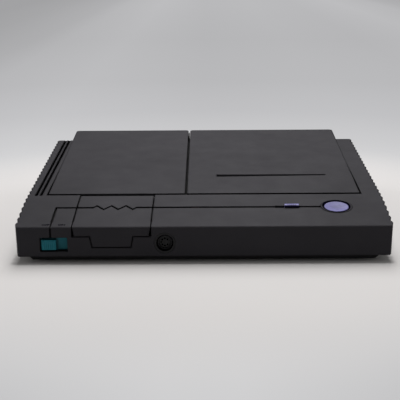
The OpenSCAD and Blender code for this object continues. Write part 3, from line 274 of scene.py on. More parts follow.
class ConsoleStage(bpy.types.PropertyGroup):
    """Camera, floor and lamps."""

    eye: point("Camera", "Place of the camera", (0.002472, -0.78992, 0.207157))
    yaw: angle("Yaw", "Turn of the camera to the right", -0.4285)
    pitch: angle("Pitch", "Tilt of the camera downwards", 13.5625)
    roll: angle("Roll", "Roll of the camera", 0.3999)
    focus_px: plain("Focal length", "Focal length in pixels of the image", 1001.69)
    floor_size: length("Floor size", "Half side of the floor", 9.0)
    near_floor: length("Near floor", "Radius where the floor is fully lit by the lamps", 0.20)
    far_floor: length("Far floor", "Radius where the floor takes its backdrop colour", 0.36)
    bright_line: length("Bright line", "X of the line along which the far floor is brightest", 0.20)
    bounce: fraction("Floor bounce", "Share of the floor's colour that lights the object", 0.60)
    key_power: watts("Key lamp", "Power of the large lamp behind", 21.3)
    key_size: sides("Key lamp size", "Width and depth of the large lamp", (0.7, 1.5))
    key_place: point("Key lamp place", "Place of the large lamp", (0.05, 0.80, 1.38))
    top_power: watts("Top lamp", "Power of the small lamp overhead", 6.4)
    top_size: sides("Top lamp size", "Width and depth of the small lamp", (0.16, 0.16))
    top_place: point("Top lamp place", "Place of the small lamp", (0.05, 0.11, 1.50))
    world: plain("World", "Strength of the surrounding light", 0.04)
    side_light: plain("Side light", "Light of the pale walls at left and right", 1.5)
    backdrop: plain("Backdrop", "Grey level seen above the floor", 0.55)


# Node helpers
def add(tree, kind, **values):
    """A new shader node; each value sets the node's attribute or its input of that name."""
    node = tree.nodes.new("ShaderNode" + kind)
    for key, value in values.items():
        if hasattr(node, key):
            setattr(node, key, value)
        else:
            node.inputs[key.replace("_", " ")].default_value = value
    return node


def join(tree, source, target):
    """Link an output socket to an input socket."""
    tree.links.new(source, target)
    return target


def new_material(name):
    """An empty node material with its tree, shader and Object coordinates."""
    material = bpy.data.materials.new(name)
    material.use_nodes = True
    tree = material.node_tree
    shader = tree.nodes["Principled BSDF"]
    place = add(tree, "TexCoord").outputs["Object"]
    return material, tree, shader, place


def noise(tree, place, scale, detail=3.0):
    """A noise pattern of so many cells per metre."""
    node = add(tree, "TexNoise", Scale=scale, Detail=detail, Roughness=0.55)
    join(tree, place, node.inputs["Vector"])
    return node.outputs["Fac"]


def spread(tree, value, low, high, start=0.3, end=0.7):
    """A pattern brought to a range of values."""
    node = add(tree, "MapRange")
    for key, number in (("From Min", start), ("From Max", end), ("To Min", low), ("To Max", high)):
        node.inputs[key].default_value = number
    join(tree, value, node.inputs["Value"])
    return node.outputs["Result"]


def tones(tree, value, stops):
    """A colour ramp with stops of place and colour."""
    ramp = add(tree, "ValToRGB").color_ramp
    while len(ramp.elements) < len(stops):
        ramp.elements.new(1.0)
    for element, (at, rgb) in zip(ramp.elements, stops):
        element.position = at
        element.color = (*rgb, 1.0)
    node = tree.nodes[-1]
    join(tree, value, node.inputs["Fac"])
    return node.outputs["Color"]


def shade(rgb, factor):
    """A colour made lighter or darker."""
    return [min(1.0, part * factor) for part in rgb]


def cloudy_tone(tree, place, rgb):
    """The faint cloudy tone of most mouldings."""
    return tones(tree, noise(tree, place, CLOUDS, 5.0), [(0.32, shade(rgb, 0.93)), (0.68, shade(rgb, 1.07))])


def along(tree, place, axis):
    """One coordinate of a place."""
    parts = add(tree, "SeparateXYZ")
    join(tree, place, parts.inputs["Vector"])
    return parts.outputs[axis]


def scaled(tree, rgb, factor):
    """A colour socket times a value socket."""
    node = add(tree, "VectorMath", operation="SCALE")
    join(tree, rgb, node.inputs[0])
    join(tree, factor, node.inputs["Scale"])
    return node.outputs["Vector"]


def maths(tree, operation, *values):
    """A maths node; each value is a socket or a number."""
    node = add(tree, "Math", operation=operation)
    for target, value in zip(node.inputs, values):
        if isinstance(value, (int, float)):
            target.default_value = value
        else:
            join(tree, value, target)
    return node.outputs[0]


def shell_tone(tree, place, rgb):
    """The cloudy tone, lighter on the sloping front by painted light, but darker there towards both ends of
    the shell by painted shade on the upward faces.
    """
    y = along(tree, place, "Y")
    away = maths(tree, "ABSOLUTE", along(tree, place, "X"))
    ends = spread(tree, away, 0.0, ENDS_DIM, ENDS_START, ENDS_FULL)
    upper = spread(tree, along(tree, add(tree, "NewGeometry").outputs["Normal"], "Z"), 0.0, 1.0, 0.3, 0.7)
    slope = spread(tree, y, 1.0, 0.2, SLOPE_START, SLOPE_END)
    front = spread(tree, y, SLOPE_LIFT, 1.0, SLOPE_START, SLOPE_END)
    # Painted shade on upward faces near both ends, and a painted lift of light on the sloping front
    dim = maths(tree, "MULTIPLY", ends, maths(tree, "MULTIPLY", upper, slope))
    return scaled(tree, cloudy_tone(tree, place, rgb), maths(tree, "SUBTRACT", front, dim))


def worn_and_highlit_rims(tree, place, rgb):
    """Rims a third paler than the moulding, as edge wear and as a painted highlight along the edges."""
    return tones(tree, noise(tree, place, RIM_CELLS), [(0.3, shade(rgb, 1.2)), (0.7, shade(rgb, 1.5))])


def shaded_and_highlit_rims(tree, place, rgb):
    """Rims dark with painted shade along grooves and gaps, but with a pale painted highlight just above the
    front edge.
    """
    edge = bpy.context.scene.console_detail.front_edge
    near = spread(tree, along(tree, place, "Z"), 0.0, 1.0, edge - RIM_REACH, edge + RIM_REACH)
    painted_shade, highlit = shade(rgb, 0.1), shade(rgb, 2.0)
    return tones(tree, near, [(0.49, rgb), (0.51, highlit), (0.66, highlit), (0.70, painted_shade)])


def no_zone(tree, place):
    """Nowhere."""
    return 0.0


def recess_zone(tree, place):
    """One where the long recess of the lid lies, which gets neither the painted shade nor the painted rims."""
    return maths(tree, "COMPARE", along(tree, place, "Y"), RECESS_Y, RECESS_HALF)


def moulded(name, rgb, rough, grain=1.0, depth=0.00003, level=0.22, tone=cloudy_tone, rims=worn_and_highlit_rims,
            unshaded=no_zone):
    """Injection-moulded plastic: spark-eroded grain, a base tone, rims of their own tone, and painted shade in
    grooves and gaps.

    The unshaded zone has neither such rims nor the painted shade.
    """
    detail = bpy.context.scene.console_detail
    material, tree, shader, place = new_material(name)
    shader.inputs["Specular IOR Level"].default_value = level
    radius = detail.painted_shade_edge if rims is shaded_and_highlit_rims else detail.edge
    round_edge = add(tree, "Bevel", samples=6, Radius=radius)
    flat = add(tree, "NewGeometry").outputs["True Normal"]
    dot = add(tree, "VectorMath", operation="DOT_PRODUCT")
    join(tree, round_edge.outputs["Normal"], dot.inputs[0])
    join(tree, flat, dot.inputs[1])
    zone = unshaded(tree, place)
    rim = spread(tree, dot.outputs["Value"], RIM_SHARE, 0.0, RIM_FULL, RIM_END)
    edge = maths(tree, "MULTIPLY", rim, maths(tree, "SUBTRACT", 1.0, zone))
    mix = add(tree, "Mix", data_type="RGBA")
    join(tree, edge, mix.inputs["Factor"])
    join(tree, tone(tree, place, rgb), mix.inputs[6])
    join(tree, rims(tree, place, rgb), mix.inputs[7])
    # Painted shade: ambient occlusion darkens the colour in grooves and gaps, down to a least share that is
    # larger below the front edge than above it
    corner = add(tree, "AmbientOcclusion", samples=8, Distance=detail.painted_shade)
    kept = spread(tree, corner.outputs["AO"], 0.0, 1.0, SHADE_FULL, SHADE_END)
    height = along(tree, place, "Z")
    top = detail.front_edge
    least = spread(tree, height, FRONT_SHADE, TOP_SHADE, top - SHADE_STEP, top)
    share = maths(tree, "MAXIMUM", maths(tree, "MAXIMUM", kept, least), zone)
    join(tree, scaled(tree, mix.outputs[2], share), shader.inputs["Base Color"])
    patches = noise(tree, place, PATCHES)
    join(tree, spread(tree, patches, rough - 0.05, rough + 0.05), shader.inputs["Roughness"])
    bump = add(tree, "Bump", Strength=0.5, Distance=depth)
    join(tree, noise(tree, place, 1.0 / (detail.grain * grain), 2.0), bump.inputs["Height"])
    join(tree, round_edge.outputs["Normal"], bump.inputs["Normal"])
    join(tree, bump.outputs["Normal"], shader.inputs["Normal"])
    return material


def key_highlight_tone(tree, place, rgb):
    """A tone that pales from the mottled middle of the open button to its rim, and towards the front: a
    painted highlight.
    """
    low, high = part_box("open_button")
    away = add(tree, "VectorMath", operation="DISTANCE")
    join(tree, place, away.inputs[0])
    away.inputs[1].default_value = (Vector(low) + Vector(high)) / 2
    mottle = spread(tree, noise(tree, place, KEY_CELLS, 4.0), -KEY_MOTTLE, KEY_MOTTLE)
    ring = spread(tree, maths(tree, "ADD", away.outputs["Value"], mottle), 0.0, 1.0, KEY_MIDDLE, KEY_RIM)
    # Painted highlight: paler towards the rim
    highlit_rim = tones(tree, ring, [(0.1, shade(rgb, 0.84)), (0.56, shade(rgb, 0.95)), (0.80, shade(rgb, 1.22))])
    return scaled(tree, highlit_rim, spread(tree, along(tree, place, "Y"), KEY_FRONT, KEY_REAR, low[1], high[1]))


def lock_light_and_shade(tree, place, rgb):
    """Painted light and shade: a pale lit top that falls to a deep blue front in shade."""
    low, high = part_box("lock_slider")
    back = spread(tree, along(tree, place, "Y"), 0.0, 1.0, low[1], high[1])
    return tones(tree, back, [(0.36, bpy.context.scene.console_finish.lock), (0.42, shade(rgb, 2.5))])


def bezel_gap_shade(tree, place, rgb):
    """Painted shade of the gap round the button: the ring's near-black colour, as wide at its sides as it
    looks at front and rear, with the shell's outside it.
    """
    low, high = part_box("button_bezel")
    off = add(tree, "VectorMath", operation="SUBTRACT")
    join(tree, place, off.inputs[0])
    off.inputs[1].default_value = (Vector(low) + Vector(high)) / 2
    half = (high[0] - low[0]) / 2
    round_off = add(tree, "VectorMath", operation="DIVIDE")
    join(tree, off.outputs["Vector"], round_off.inputs[0])
    round_off.inputs[1].default_value = (half - 0.0010, half + 0.0002, 1.0)
    away = add(tree, "VectorMath", operation="LENGTH")
    join(tree, round_off.outputs["Vector"], away.inputs[0])
    shell = bpy.context.scene.console_finish.charcoal
    return tones(tree, away.outputs["Value"], [(0.985, rgb), (0.995, shell)])


def metal(name, rgb, rough, stretch=(1.0, 1.0, 1.0)):
    """Bare metal with fine drawn lines along the axis that is stretched least."""
    material, tree, shader, place = new_material(name)
    shader.inputs["Metallic"].default_value = 1.0
    turned = add(tree, "Mapping")
    turned.inputs["Scale"].default_value = stretch
    join(tree, place, turned.inputs["Vector"])
    lines = noise(tree, turned.outputs["Vector"], DRAWN_LINES, 4.0)
    tint = tones(tree, lines, [(0.3, shade(rgb, 0.86)), (0.7, shade(rgb, 1.08))])
    join(tree, tint, shader.inputs["Base Color"])
    join(tree, spread(tree, lines, rough - 0.06, rough + 0.08), shader.inputs["Roughness"])
    bump = add(tree, "Bump", Strength=0.25, Distance=0.00002)
    join(tree, lines, bump.inputs["Height"])
    join(tree, bump.outputs["Normal"], shader.inputs["Normal"])
    return material


def dress(material, *names):
    """Put a material into every slot of these solids."""
    for name in names:
        for place in frame["nodes"][name].material_slots:
            place.material = material


def slot_nodes(slot):
    """Names of the solids that the record gives a material slot."""
    return [name for name, obj in frame["nodes"].items() if obj.get("slot_name") == slot]


for solid in frame["nodes"].values():
    solid["slot_name"] = solid.material_slots[0].material.name


# Mesh helpers
def joint(name):
    """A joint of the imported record."""
    return next(entry for entry in frame["joints"] if entry["name"] == name)


def tilted(origin, normal):
    """The frame at a point whose Z follows a normal and whose X stays along the object's X."""
    z_axis = Vector(normal).normalized()
    x_axis = Vector((1.0, 0.0, 0.0))
    turn = Matrix((x_axis, z_axis.cross(x_axis), z_axis)).transposed().to_4x4()
    return Matrix.Translation(Vector(origin)) @ turn


def spindle_frame():
    """The frame of the turntable, with its origin in the plane that a disc lies on."""
    spin = joint("platter_spin")
    return tilted(spin["pos_m"], spin["axis"])


def facet_frame():
    """The frame of the sloping front, with its origin in the middle of the front edge."""
    edge = bpy.context.scene.console_detail.front_edge
    return tilted((0.0, FRONT_Y, edge), [-part for part in joint("open_press")["axis"]])


def quads(rows, columns, ring_rows=False, ring_columns=False):
    """Faces of a grid of points counted row by row; a ring joins its last line to its first."""
    row = np.arange(rows if ring_rows else rows - 1)
    column = np.arange(columns if ring_columns else columns - 1)
    row, column = np.meshgrid(row, column, indexing="ij")
    after, beside = (row + 1) % rows, (column + 1) % columns
    here, there = row * columns, after * columns
    corners = [here + column, here + beside, there + beside, there + column]
    return np.stack(corners, axis=-1).reshape(-1, 4)


def turned(profile, steps=48, loop=False):
    """A profile of radius and height in millimetres carried round Z: x = r cos a, y = r sin a, z = height.

    A loop is a closed profile, as of a ring; any other begins and ends on the axis.
    """
    angle = np.linspace(0.0, 2 * np.pi, steps, endpoint=False)[:, None]
    radius, height = MM * np.asarray(profile, dtype=float).T
    points = np.stack([radius * np.cos(angle), radius * np.sin(angle), height + 0.0 * angle], axis=-1)
    return points.reshape(-1, 3), quads(steps, len(profile), True, loop)


def carried(section, path):
    """A section of width and height carried along a path, in millimetres, with both ends closed.

    At each point of the path the section stands square to the mean of the two directions there:
    its width along direction x up, its height along width x direction.
    """
    section, path = MM * np.asarray(section, dtype=float), MM * np.asarray(path, dtype=float)
    ahead = np.gradient(path, axis=0)
    ahead = ahead / np.linalg.norm(ahead, axis=1, keepdims=True)
    side = np.cross(ahead, [0.0, 0.0, 1.0])
    side = side / np.linalg.norm(side, axis=1, keepdims=True)
    lift = np.cross(side, ahead)
    rings = path[:, None] + section[None, :, :1] * side[:, None] + section[None, :, 1:] * lift[:, None]
    caps = rings[[0, -1]].mean(axis=1, keepdims=True) + 0.0 * rings[[0, -1]]
    points = np.concatenate([caps[:1], rings, caps[1:]])
    return points.reshape(-1, 3), quads(len(points), len(section), False, True)


def repeated(shape, places, turns=0.0):
    """Copies of a shape: each turned about Z by its angle, then moved to its place in millimetres."""
    points, faces = shape
    places = MM * np.asarray(places, dtype=float)
    angle = np.broadcast_to(np.asarray(turns, dtype=float), len(places))[:, None]
    x, y, z = points.T
    spun = [x * np.cos(angle) - y * np.sin(angle), x * np.sin(angle) + y * np.cos(angle), z + 0.0 * angle]
    copies = np.stack(spun, axis=-1) + places[:, None]
    steps = np.arange(len(places))[:, None, None] * len(points)
    return copies.reshape(-1, 3), (faces[None] + steps).reshape(-1, faces.shape[1])


def around(radius, degrees, height):
    """Places on a circle about Z: x = r cos a, y = r sin a, at one height."""
    angle = np.radians(degrees)
    return np.stack([radius * np.cos(angle), radius * np.sin(angle), height + 0.0 * angle], axis=-1)


def joined(*shapes):
    """Several shapes as one, each with its faces counted on from the last."""
    starts = np.cumsum([0] + [len(points) for points, _ in shapes[:-1]])
    return (np.concatenate([points for points, _ in shapes]),
            np.concatenate([faces + start for (_, faces), start in zip(shapes, starts)]))


def mesh_piece(name, shape, body, material, place=Matrix()):
    """A closed mesh piece at the origin, with its place in its points, that rides on a body."""
    points, faces = shape
    mesh = bpy.data.meshes.new(name)
    mesh.from_pydata(points.tolist(), [], faces.tolist())
    work = bmesh.new()
    work.from_mesh(mesh)
    bmesh.ops.remove_doubles(work, verts=work.verts, dist=1e-7)
    bmesh.ops.recalc_face_normals(work, faces=work.faces)
    work.to_mesh(mesh)
    work.free()
    return dressed_piece(name, mesh, body, material, place)


def dressed_piece(name, mesh, body, material, place=Matrix()):
    """An object for a mesh, whose place is applied to the mesh, with its material and body."""
    mesh.transform(place)
    mesh.materials.clear()
    mesh.materials.append(material)
    piece = bpy.data.objects.new(name, mesh)
    bpy.context.scene.collection.objects.link(piece)
    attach(piece, body)
    return piece


# Operators
class CONSOLE_OT_stage(bpy.types.Operator):
    """Make the camera, the pale floor, the lamps and the world"""

    bl_idname = "console.stage"
    bl_label = "Studio"

    def execute(self, context):
        scene = context.scene
        self.camera(scene)
        self.floor(scene)
        self.lamps(scene)
        self.world(scene)
        scene.view_settings.view_transform = "Standard"
        return {"FINISHED"}

    def camera(self, scene):
        """The camera looks along forward; right and down are turned about it by the roll."""
        stage = scene.console_stage
        sin_yaw, cos_yaw = math.sin(stage.yaw), math.cos(stage.yaw)
        sin_pitch, cos_pitch = math.sin(stage.pitch), math.cos(stage.pitch)
        forward = Vector((sin_yaw * cos_pitch, cos_yaw * cos_pitch, -sin_pitch))
        level = Vector((cos_yaw, -sin_yaw, 0.0))
        under = forward.cross(level)
        right = math.cos(stage.roll) * level + math.sin(stage.roll) * under
        down = math.cos(stage.roll) * under - math.sin(stage.roll) * level
        data = bpy.data.cameras.new("camera")
        data.sensor_fit = "HORIZONTAL"
        data.sensor_width = SENSOR
        data.lens = stage.focus_px / IMAGE_PX * SENSOR
        data.clip_start, data.clip_end = 0.01, 40.0
        camera = bpy.data.objects.new("camera", data)
        scene.collection.objects.link(camera)
        turn = Matrix((right, -down, -forward)).transposed().to_4x4()
        camera.matrix_world = Matrix.Translation(Vector(stage.eye)) @ turn
        scene.camera = camera

    def floor(self, scene):
        """A flat square whose far part glows softly for camera, gloss and transmission rays, with a painted
        fall of light.
        """
        stage = scene.console_stage
        half = stage.floor_size
        mesh = bpy.data.meshes.new("floor")
        mesh.from_pydata([(-half, -half, 0), (half, -half, 0), (half, half, 0), (-half, half, 0)], [],
                         [(0, 1, 2, 3)])
        mesh.materials.append(self.floor_material(scene))
        floor = bpy.data.objects.new("floor", mesh)
        scene.collection.objects.link(floor)

    def floor_material(self, scene):
        """Pale card near the object; further out a glowing tone by distance, seen by camera and gloss rays: a
        painted fall of light from a bright line, and painted shade towards the front corners.
        """
        stage = scene.console_stage
        material, tree, shader, place = new_material("studio_floor")
        shader.inputs["Specular IOR Level"].default_value = 0.0
        shader.inputs["Roughness"].default_value = 0.9
        rgb = scene.console_finish.floor
        paper = tones(tree, noise(tree, place, 3.0), [(0.3, shade(rgb, 0.985)), (0.7, shade(rgb, 1.015))])
        rays = add(tree, "LightPath").outputs
        seen = maths(tree, "MAXIMUM", rays["Is Camera Ray"], rays["Is Glossy Ray"])
        seen = maths(tree, "MAXIMUM", seen, rays["Is Transmission Ray"])
        card = add(tree, "Mix", data_type="RGBA")
        card.inputs[6].default_value = (*shade(rgb, stage.bounce), 1.0)
        join(tree, seen, card.inputs["Factor"])
        join(tree, paper, card.inputs[7])
        join(tree, card.outputs[2], shader.inputs["Base Color"])
        away = add(tree, "VectorMath", operation="LENGTH")
        join(tree, place, away.inputs[0])
        radius = away.outputs["Value"]
        glow = add(tree, "Emission")
        tone = tones(tree, spread(tree, radius, 0.0, 1.0, 0.0, FLOOR_REACH), FLOOR_TONES)
        join(tree, tone, glow.inputs["Color"])
        # Painted fall of light away from the bright line, and painted shade towards the front corners
        x = along(tree, place, "X")
        off_line = maths(tree, "ABSOLUTE", maths(tree, "SUBTRACT", x, stage.bright_line))
        fall = tones(tree, spread(tree, off_line, 0.0, 1.0, 0.0, FALL_REACH), FLOOR_FALL)
        aside = spread(tree, maths(tree, "ABSOLUTE", x), 0.0, CORNER_DIM, CORNER_START, CORNER_FULL)
        front = spread(tree, along(tree, place, "Y"), 1.0, 0.0, CORNER_FRONT, CORNER_REAR)
        corner = maths(tree, "SUBTRACT", 1.0, maths(tree, "MULTIPLY", aside, front))
        join(tree, maths(tree, "MULTIPLY", fall, corner), glow.inputs["Strength"])
        far = add(tree, "MapRange", interpolation_type="SMOOTHSTEP", From_Min=stage.near_floor,
                  From_Max=stage.far_floor)
        join(tree, radius, far.inputs["Value"])
        blend = add(tree, "MixShader")
        join(tree, maths(tree, "MULTIPLY", far.outputs["Result"], seen), blend.inputs["Fac"])
        join(tree, shader.outputs["BSDF"], blend.inputs[1])
        join(tree, glow.outputs["Emission"], blend.inputs[2])
        join(tree, blend.outputs["Shader"], tree.nodes["Material Output"].inputs["Surface"])
        return material

    def lamps(self, scene):
        """A large soft lamp above and behind, and a small one overhead for the crisp front shadow."""
        stage = scene.console_stage
        for name in ("key", "top"):
            place = Vector(getattr(stage, name + "_place"))
            data = bpy.data.lights.new(name, "AREA")
            data.shape = "RECTANGLE"
            data.size, data.size_y = getattr(stage, name + "_size")
            data.energy = getattr(stage, name + "_power")
            lamp = bpy.data.objects.new(name, data)
            lamp.location = place
            lamp.rotation_mode = "QUATERNION"
            lamp.rotation_quaternion = (-place).to_track_quat("-Z", "Y")
            scene.collection.objects.link(lamp)

    def world(self, scene):
        """A dim room with pale walls: level + walls x^4 for a direction's x, and a grey for the camera."""
        stage = scene.console_stage
        world = bpy.data.worlds.new("world")
        world.use_nodes = True
        tree = world.node_tree
        across = along(tree, add(tree, "TexCoord").outputs["Generated"], "X")
        power = maths(tree, "POWER", across, WALL_POWER)
        walls = maths(tree, "MULTIPLY_ADD", power, stage.side_light, stage.world)
        seen = add(tree, "Mix")
        join(tree, add(tree, "LightPath").outputs["Is Camera Ray"], seen.inputs["Factor"])
        join(tree, walls, seen.inputs[2])
        seen.inputs[3].default_value = stage.backdrop
        back = tree.nodes["Background"]
        back.inputs["Color"].default_value = (1.0, 1.0, 1.0, 1.0)
        join(tree, seen.outputs[0], back.inputs["Strength"])
        scene.world = world


class CONSOLE_OT_plastics(bpy.types.Operator):
    """Give the moulded plastic solids their finishes"""

    bl_idname = "console.plastics"
    bl_label = "Plastics"

    def execute(self, context):
        finish = context.scene.console_finish
        shell = {"rough": 0.62, "level": 0.04, "tone": shell_tone, "rims": shaded_and_highlit_rims}
        smooth = {"rough": 0.40, "depth": 0.00001}
        dress(moulded("charcoal_shell", finish.charcoal, **shell), *slot_nodes("charcoal_plastic"))
        dress(moulded("charcoal_lid", finish.charcoal, unshaded=recess_zone, **shell), "disc_lid")
        dress(moulded("base_shell", finish.base, 0.55), *slot_nodes("base_plastic"))
        dress(moulded("black_moulding", finish.black, 0.48), *slot_nodes("black_plastic"))
        dress(moulded("bezel_ring", finish.bezel, 0.80, level=0.0, tone=bezel_gap_shade, rims=bezel_gap_shade),
              *slot_nodes("bezel_plastic"))
        dress(moulded("lilac_keys", finish.lilac, level=0.12, tone=key_highlight_tone, **smooth), "open_button")
        dress(moulded("lilac_lock", finish.lilac, level=0.12, tone=lock_light_and_shade, rims=lock_light_and_shade, **smooth),
              "lock_slider")
        dress(moulded("teal_slider", finish.teal, **smooth), *slot_nodes("teal_plastic"))
        dress(moulded("smoked_lens", finish.lens, 0.60, depth=0.000004, level=0.0, rims=cloudy_tone),
              *slot_nodes("lens_plastic"))
        dress(moulded("gear_nylon", finish.nylon, 0.45, depth=0.00001), *slot_nodes("gear_nylon"))
        dress(moulded("soft_rubber", finish.rubber, 0.75, grain=1.6, level=0.2), *slot_nodes("damper_rubber"),
              *slot_nodes("foot_rubber"))
        return {"FINISHED"}


class CONSOLE_OT_metals(bpy.types.Operator):
    """Give the metal, board and lens solids their finishes"""

    bl_idname = "console.metals"
    bl_label = "Metals, board and lens"

    def execute(self, context):
        finish = context.scene.console_finish
        dress(metal("turned_steel", finish.steel, 0.28, (0.05, 1.0, 1.0)), *slot_nodes("steel"))
        dress(metal("tarnished_shell", finish.tarnish, 0.55), "controller_shell", "door_hinge_pin",
              "lid_hinge_pins")
        dress(metal("pressed_sheet", finish.sheet, 0.38, (0.08, 1.0, 1.0)), *slot_nodes("sheet_metal"))
        dress(metal("plated_contacts", finish.contact, 0.25, (1.0, 0.1, 1.0)), *slot_nodes("contact_metal"))
        dress(moulded("board_lacquer", finish.board, 0.3, depth=0.00001), *slot_nodes("board_resin"))
        dress(moulded("pickup_glass", finish.glass, 0.06, depth=0.000001), *slot_nodes("lens_glass"))
        return {"FINISHED"}


class CONSOLE_OT_marks(bpy.types.Operator):
    """Print OFF and ON above the power switch"""

    bl_idname = "console.marks"
    bl_label = "Switch marks"

    def execute(self, context):
        detail = context.scene.console_detail
        material, tree, shader, place = new_material("switch_print")
        rgb = context.scene.console_finish.print
        ink = tones(tree, noise(tree, place, INK_CELLS), [(0.3, shade(rgb, 0.8)), (0.7, shade(rgb, 1.3))])
        join(tree, ink, shader.inputs["Base Color"])
        shader.inputs["Roughness"].default_value = 0.8
        shader.inputs["Specular IOR Level"].default_value = 0.0
        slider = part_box("power_slider")
        for word, share in WORDS:
            x = slider[0][0] + share * (slider[1][0] - slider[0][0])
            self.word(word, Matrix.Translation((x, detail.letter_back, 0.0)), detail.letter, material)
        return {"FINISHED"}

    def word(self, word, place, height, material):
        """A printed word of a given letter height, a hair's breadth proud of the sloping front."""
        curve = bpy.data.curves.new("word_" + word.lower(), "FONT")
        curve.body = word
        curve.align_x = "CENTER"
        curve.size = height / CAP_HEIGHT
        curve.extrude = PRINT_THICK
        curve.offset = PRINT_BOLD
        curve.resolution_u = 3
        words = bpy.data.objects.new(curve.name, curve)
        mesh = bpy.data.meshes.new_from_object(words)
        bpy.data.objects.remove(words)
        work = bmesh.new()
        work.from_mesh(mesh)
        bmesh.ops.remove_doubles(work, verts=work.verts, dist=1e-7)
        work.to_mesh(mesh)
        work.free()
        name = "mark_" + word.lower()
        dressed_piece(name, mesh, "housing", material, facet_frame() @ place)


class CONSOLE_OT_ridges(bpy.types.Operator):
    """Mould finger ridges on the power slider and the lid lock"""

    bl_idname = "console.ridges"
    bl_label = "Finger ridges"

    def execute(self, context):
        self.power(context.scene.console_detail)
        self.lock(context.scene.console_detail)
        return {"FINISHED"}

    def ridge(self, width, height, long):
        """A bar along Y whose section is a half ellipse, sunk a little: w cos t wide, h sin t high."""
        arc = np.linspace(0.0, np.pi, 9)
        section = np.stack([width * np.cos(arc), height * np.sin(arc)], axis=-1)
        section = np.concatenate([section, [[-width, -0.3 * height], [width, -0.3 * height]]])
        return carried(section, [(0.0, 0.0, 0.0), (0.0, long, 0.0)])

    def row(self, count, pitch):
        """Places of ridges side by side, centred on X."""
        return [((step - (count - 1) / 2) * pitch, 0.0, 0.0) for step in range(count)]

    def power(self, detail):
        """Upright ridges on the front of the power knob."""
        low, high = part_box("power_slider")
        tall = (high[2] - low[2]) / MM - 2 * KNOB_EDGE
        ridge = self.ridge(KNOB_RIDGE_WIDE, detail.ridge / MM, tall)
        shape = repeated(ridge, self.row(KNOB_RIDGES, detail.ridge_pitch / MM))
        centre = Vector((low[0] + MM * KNOB_MIDDLE, low[1], low[2] + MM * KNOB_EDGE))
        stand = Matrix.Translation(centre) @ Matrix.Rotation(math.radians(90), 4, "X")
        mesh_piece("power_ridges", shape, "power", bpy.data.materials["teal_slider"], stand)

    def lock(self, detail):
        """Cross ridges on the top of the lid lock."""
        low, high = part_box("lock_slider")
        ridge = self.ridge(LOCK_RIDGE_WIDE, detail.ridge / MM, LOCK_RIDGE)
        shape = repeated(ridge, self.row(LOCK_RIDGES, detail.ridge_pitch / MM))
        middle = (low[0] + high[0]) / 2
        place = Matrix.Translation((middle, MM * (LOCK_BACK - LOCK_RIDGE / 2), MM * LOCK_PROUD))
        mesh_piece("lock_ridges", shape, "lock", bpy.data.materials["lilac_lock"],
                   facet_frame() @ place)


class CONSOLE_OT_spring(bpy.types.Operator):
    """Wind the return spring of the open button, in place of the spring solid"""

    bl_idname = "console.spring"
    bl_label = "Button spring"

    def execute(self, context):
        low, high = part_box("button_bezel")
        press = joint("open_press")
        up = -Vector(press["axis"])
        place = tilted((Vector(low) + Vector(high)) / 2, up)
        steel = bpy.data.materials["turned_steel"]
        spring = mesh_piece("return_spring", self.coil(), "housing", steel, place)
        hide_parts("button_spring")
        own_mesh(spring)
        return {"FINISHED"}

    def coil(self):
        """A round wire carried along a helix: x = r cos a, y = r sin a, z rises evenly with a."""
        turn = np.linspace(0.0, 2 * np.pi, 12, endpoint=False)
        wire = SPRING_WIRE * np.stack([np.cos(turn), np.sin(turn)], axis=-1)
        degrees = np.linspace(0.0, 360 * SPRING_TURNS, round(36 * SPRING_TURNS) + 1)
        rise = SPRING_FOOT + SPRING_HIGH * np.linspace(0.0, 1.0, len(degrees))
        return carried(wire, around(SPRING_R, degrees, rise))


class CONSOLE_OT_drive(bpy.types.Operator):
    """Add the turntable's mat and catches, the clamp's pad, and the rings and screws of the well"""

    bl_idname = "console.drive"
    bl_label = "Drive trim"

    def execute(self, context):
        detail = context.scene.console_detail
        place = spindle_frame()
        rubber, steel = bpy.data.materials["soft_rubber"], bpy.data.materials["turned_steel"]
        mat = detail.mat / MM
        section = [(8.4, SUNK), (15.0, SUNK), (15.1, 0.6 * mat), (14.9, mat), (8.6, mat), (8.3, 0.6 * mat)]
        mesh_piece("turntable_mat", turned(section, 72, True), "platter", rubber, place)
        mesh_piece("disc_catches", self.catches(), "platter", steel, place)
        pad = [(8.6, 1.55), (13.8, 1.55), (13.9, 1.45), (13.8, 1.3), (8.6, 1.3), (8.5, 1.4)]
        mesh_piece("clamp_pad", turned(pad, 72, True), "clamp", rubber, place)
        black = bpy.data.materials["black_moulding"]
        mesh_piece("well_rings", self.rings(detail.ring / MM), "housing", black, place)
        mesh_piece("well_screws", self.screws(), "housing", steel, place)
        return {"FINISHED"}

    def catches(self):
        """Three balls that stand out of the hub: radius sin t, height -radius cos t from pole to pole."""
        polar = np.linspace(0.0, np.pi, 11)
        ball = turned(np.stack([CATCH_R * np.sin(polar), -CATCH_R * np.cos(polar)], axis=-1), 16)
        return repeated(ball, around(CATCH_AWAY, [30, 150, 270], CATCH_HIGH))

    def rings(self, high):
        """Two low arcs on the floor of the well, which stop at the slot of the lens."""
        section = [(-0.8, SUNK), (0.8, SUNK), (0.5, high), (-0.5, high)]
        spans = [(radius, np.linspace(stop - 180, 180 - stop, 96)) for radius, stop in WELL_RINGS]
        return joined(*[carried(section, around(radius, span, WELL_FLOOR)) for radius, span in spans])

    def screws(self):
        """Four pan heads with a dimple, on the flange of the well."""
        head = turned([(0, SUNK), (2.2, SUNK), (2.2, 0.35), (1.9, 0.7), (1.3, 0.88), (0.8, 0.9), (0.55, 0.4),
                       (0, 0.35)], 28)
        return repeated(head, around(SCREW_AWAY, [60, 120, 240, 300], WELL_FLANGE))


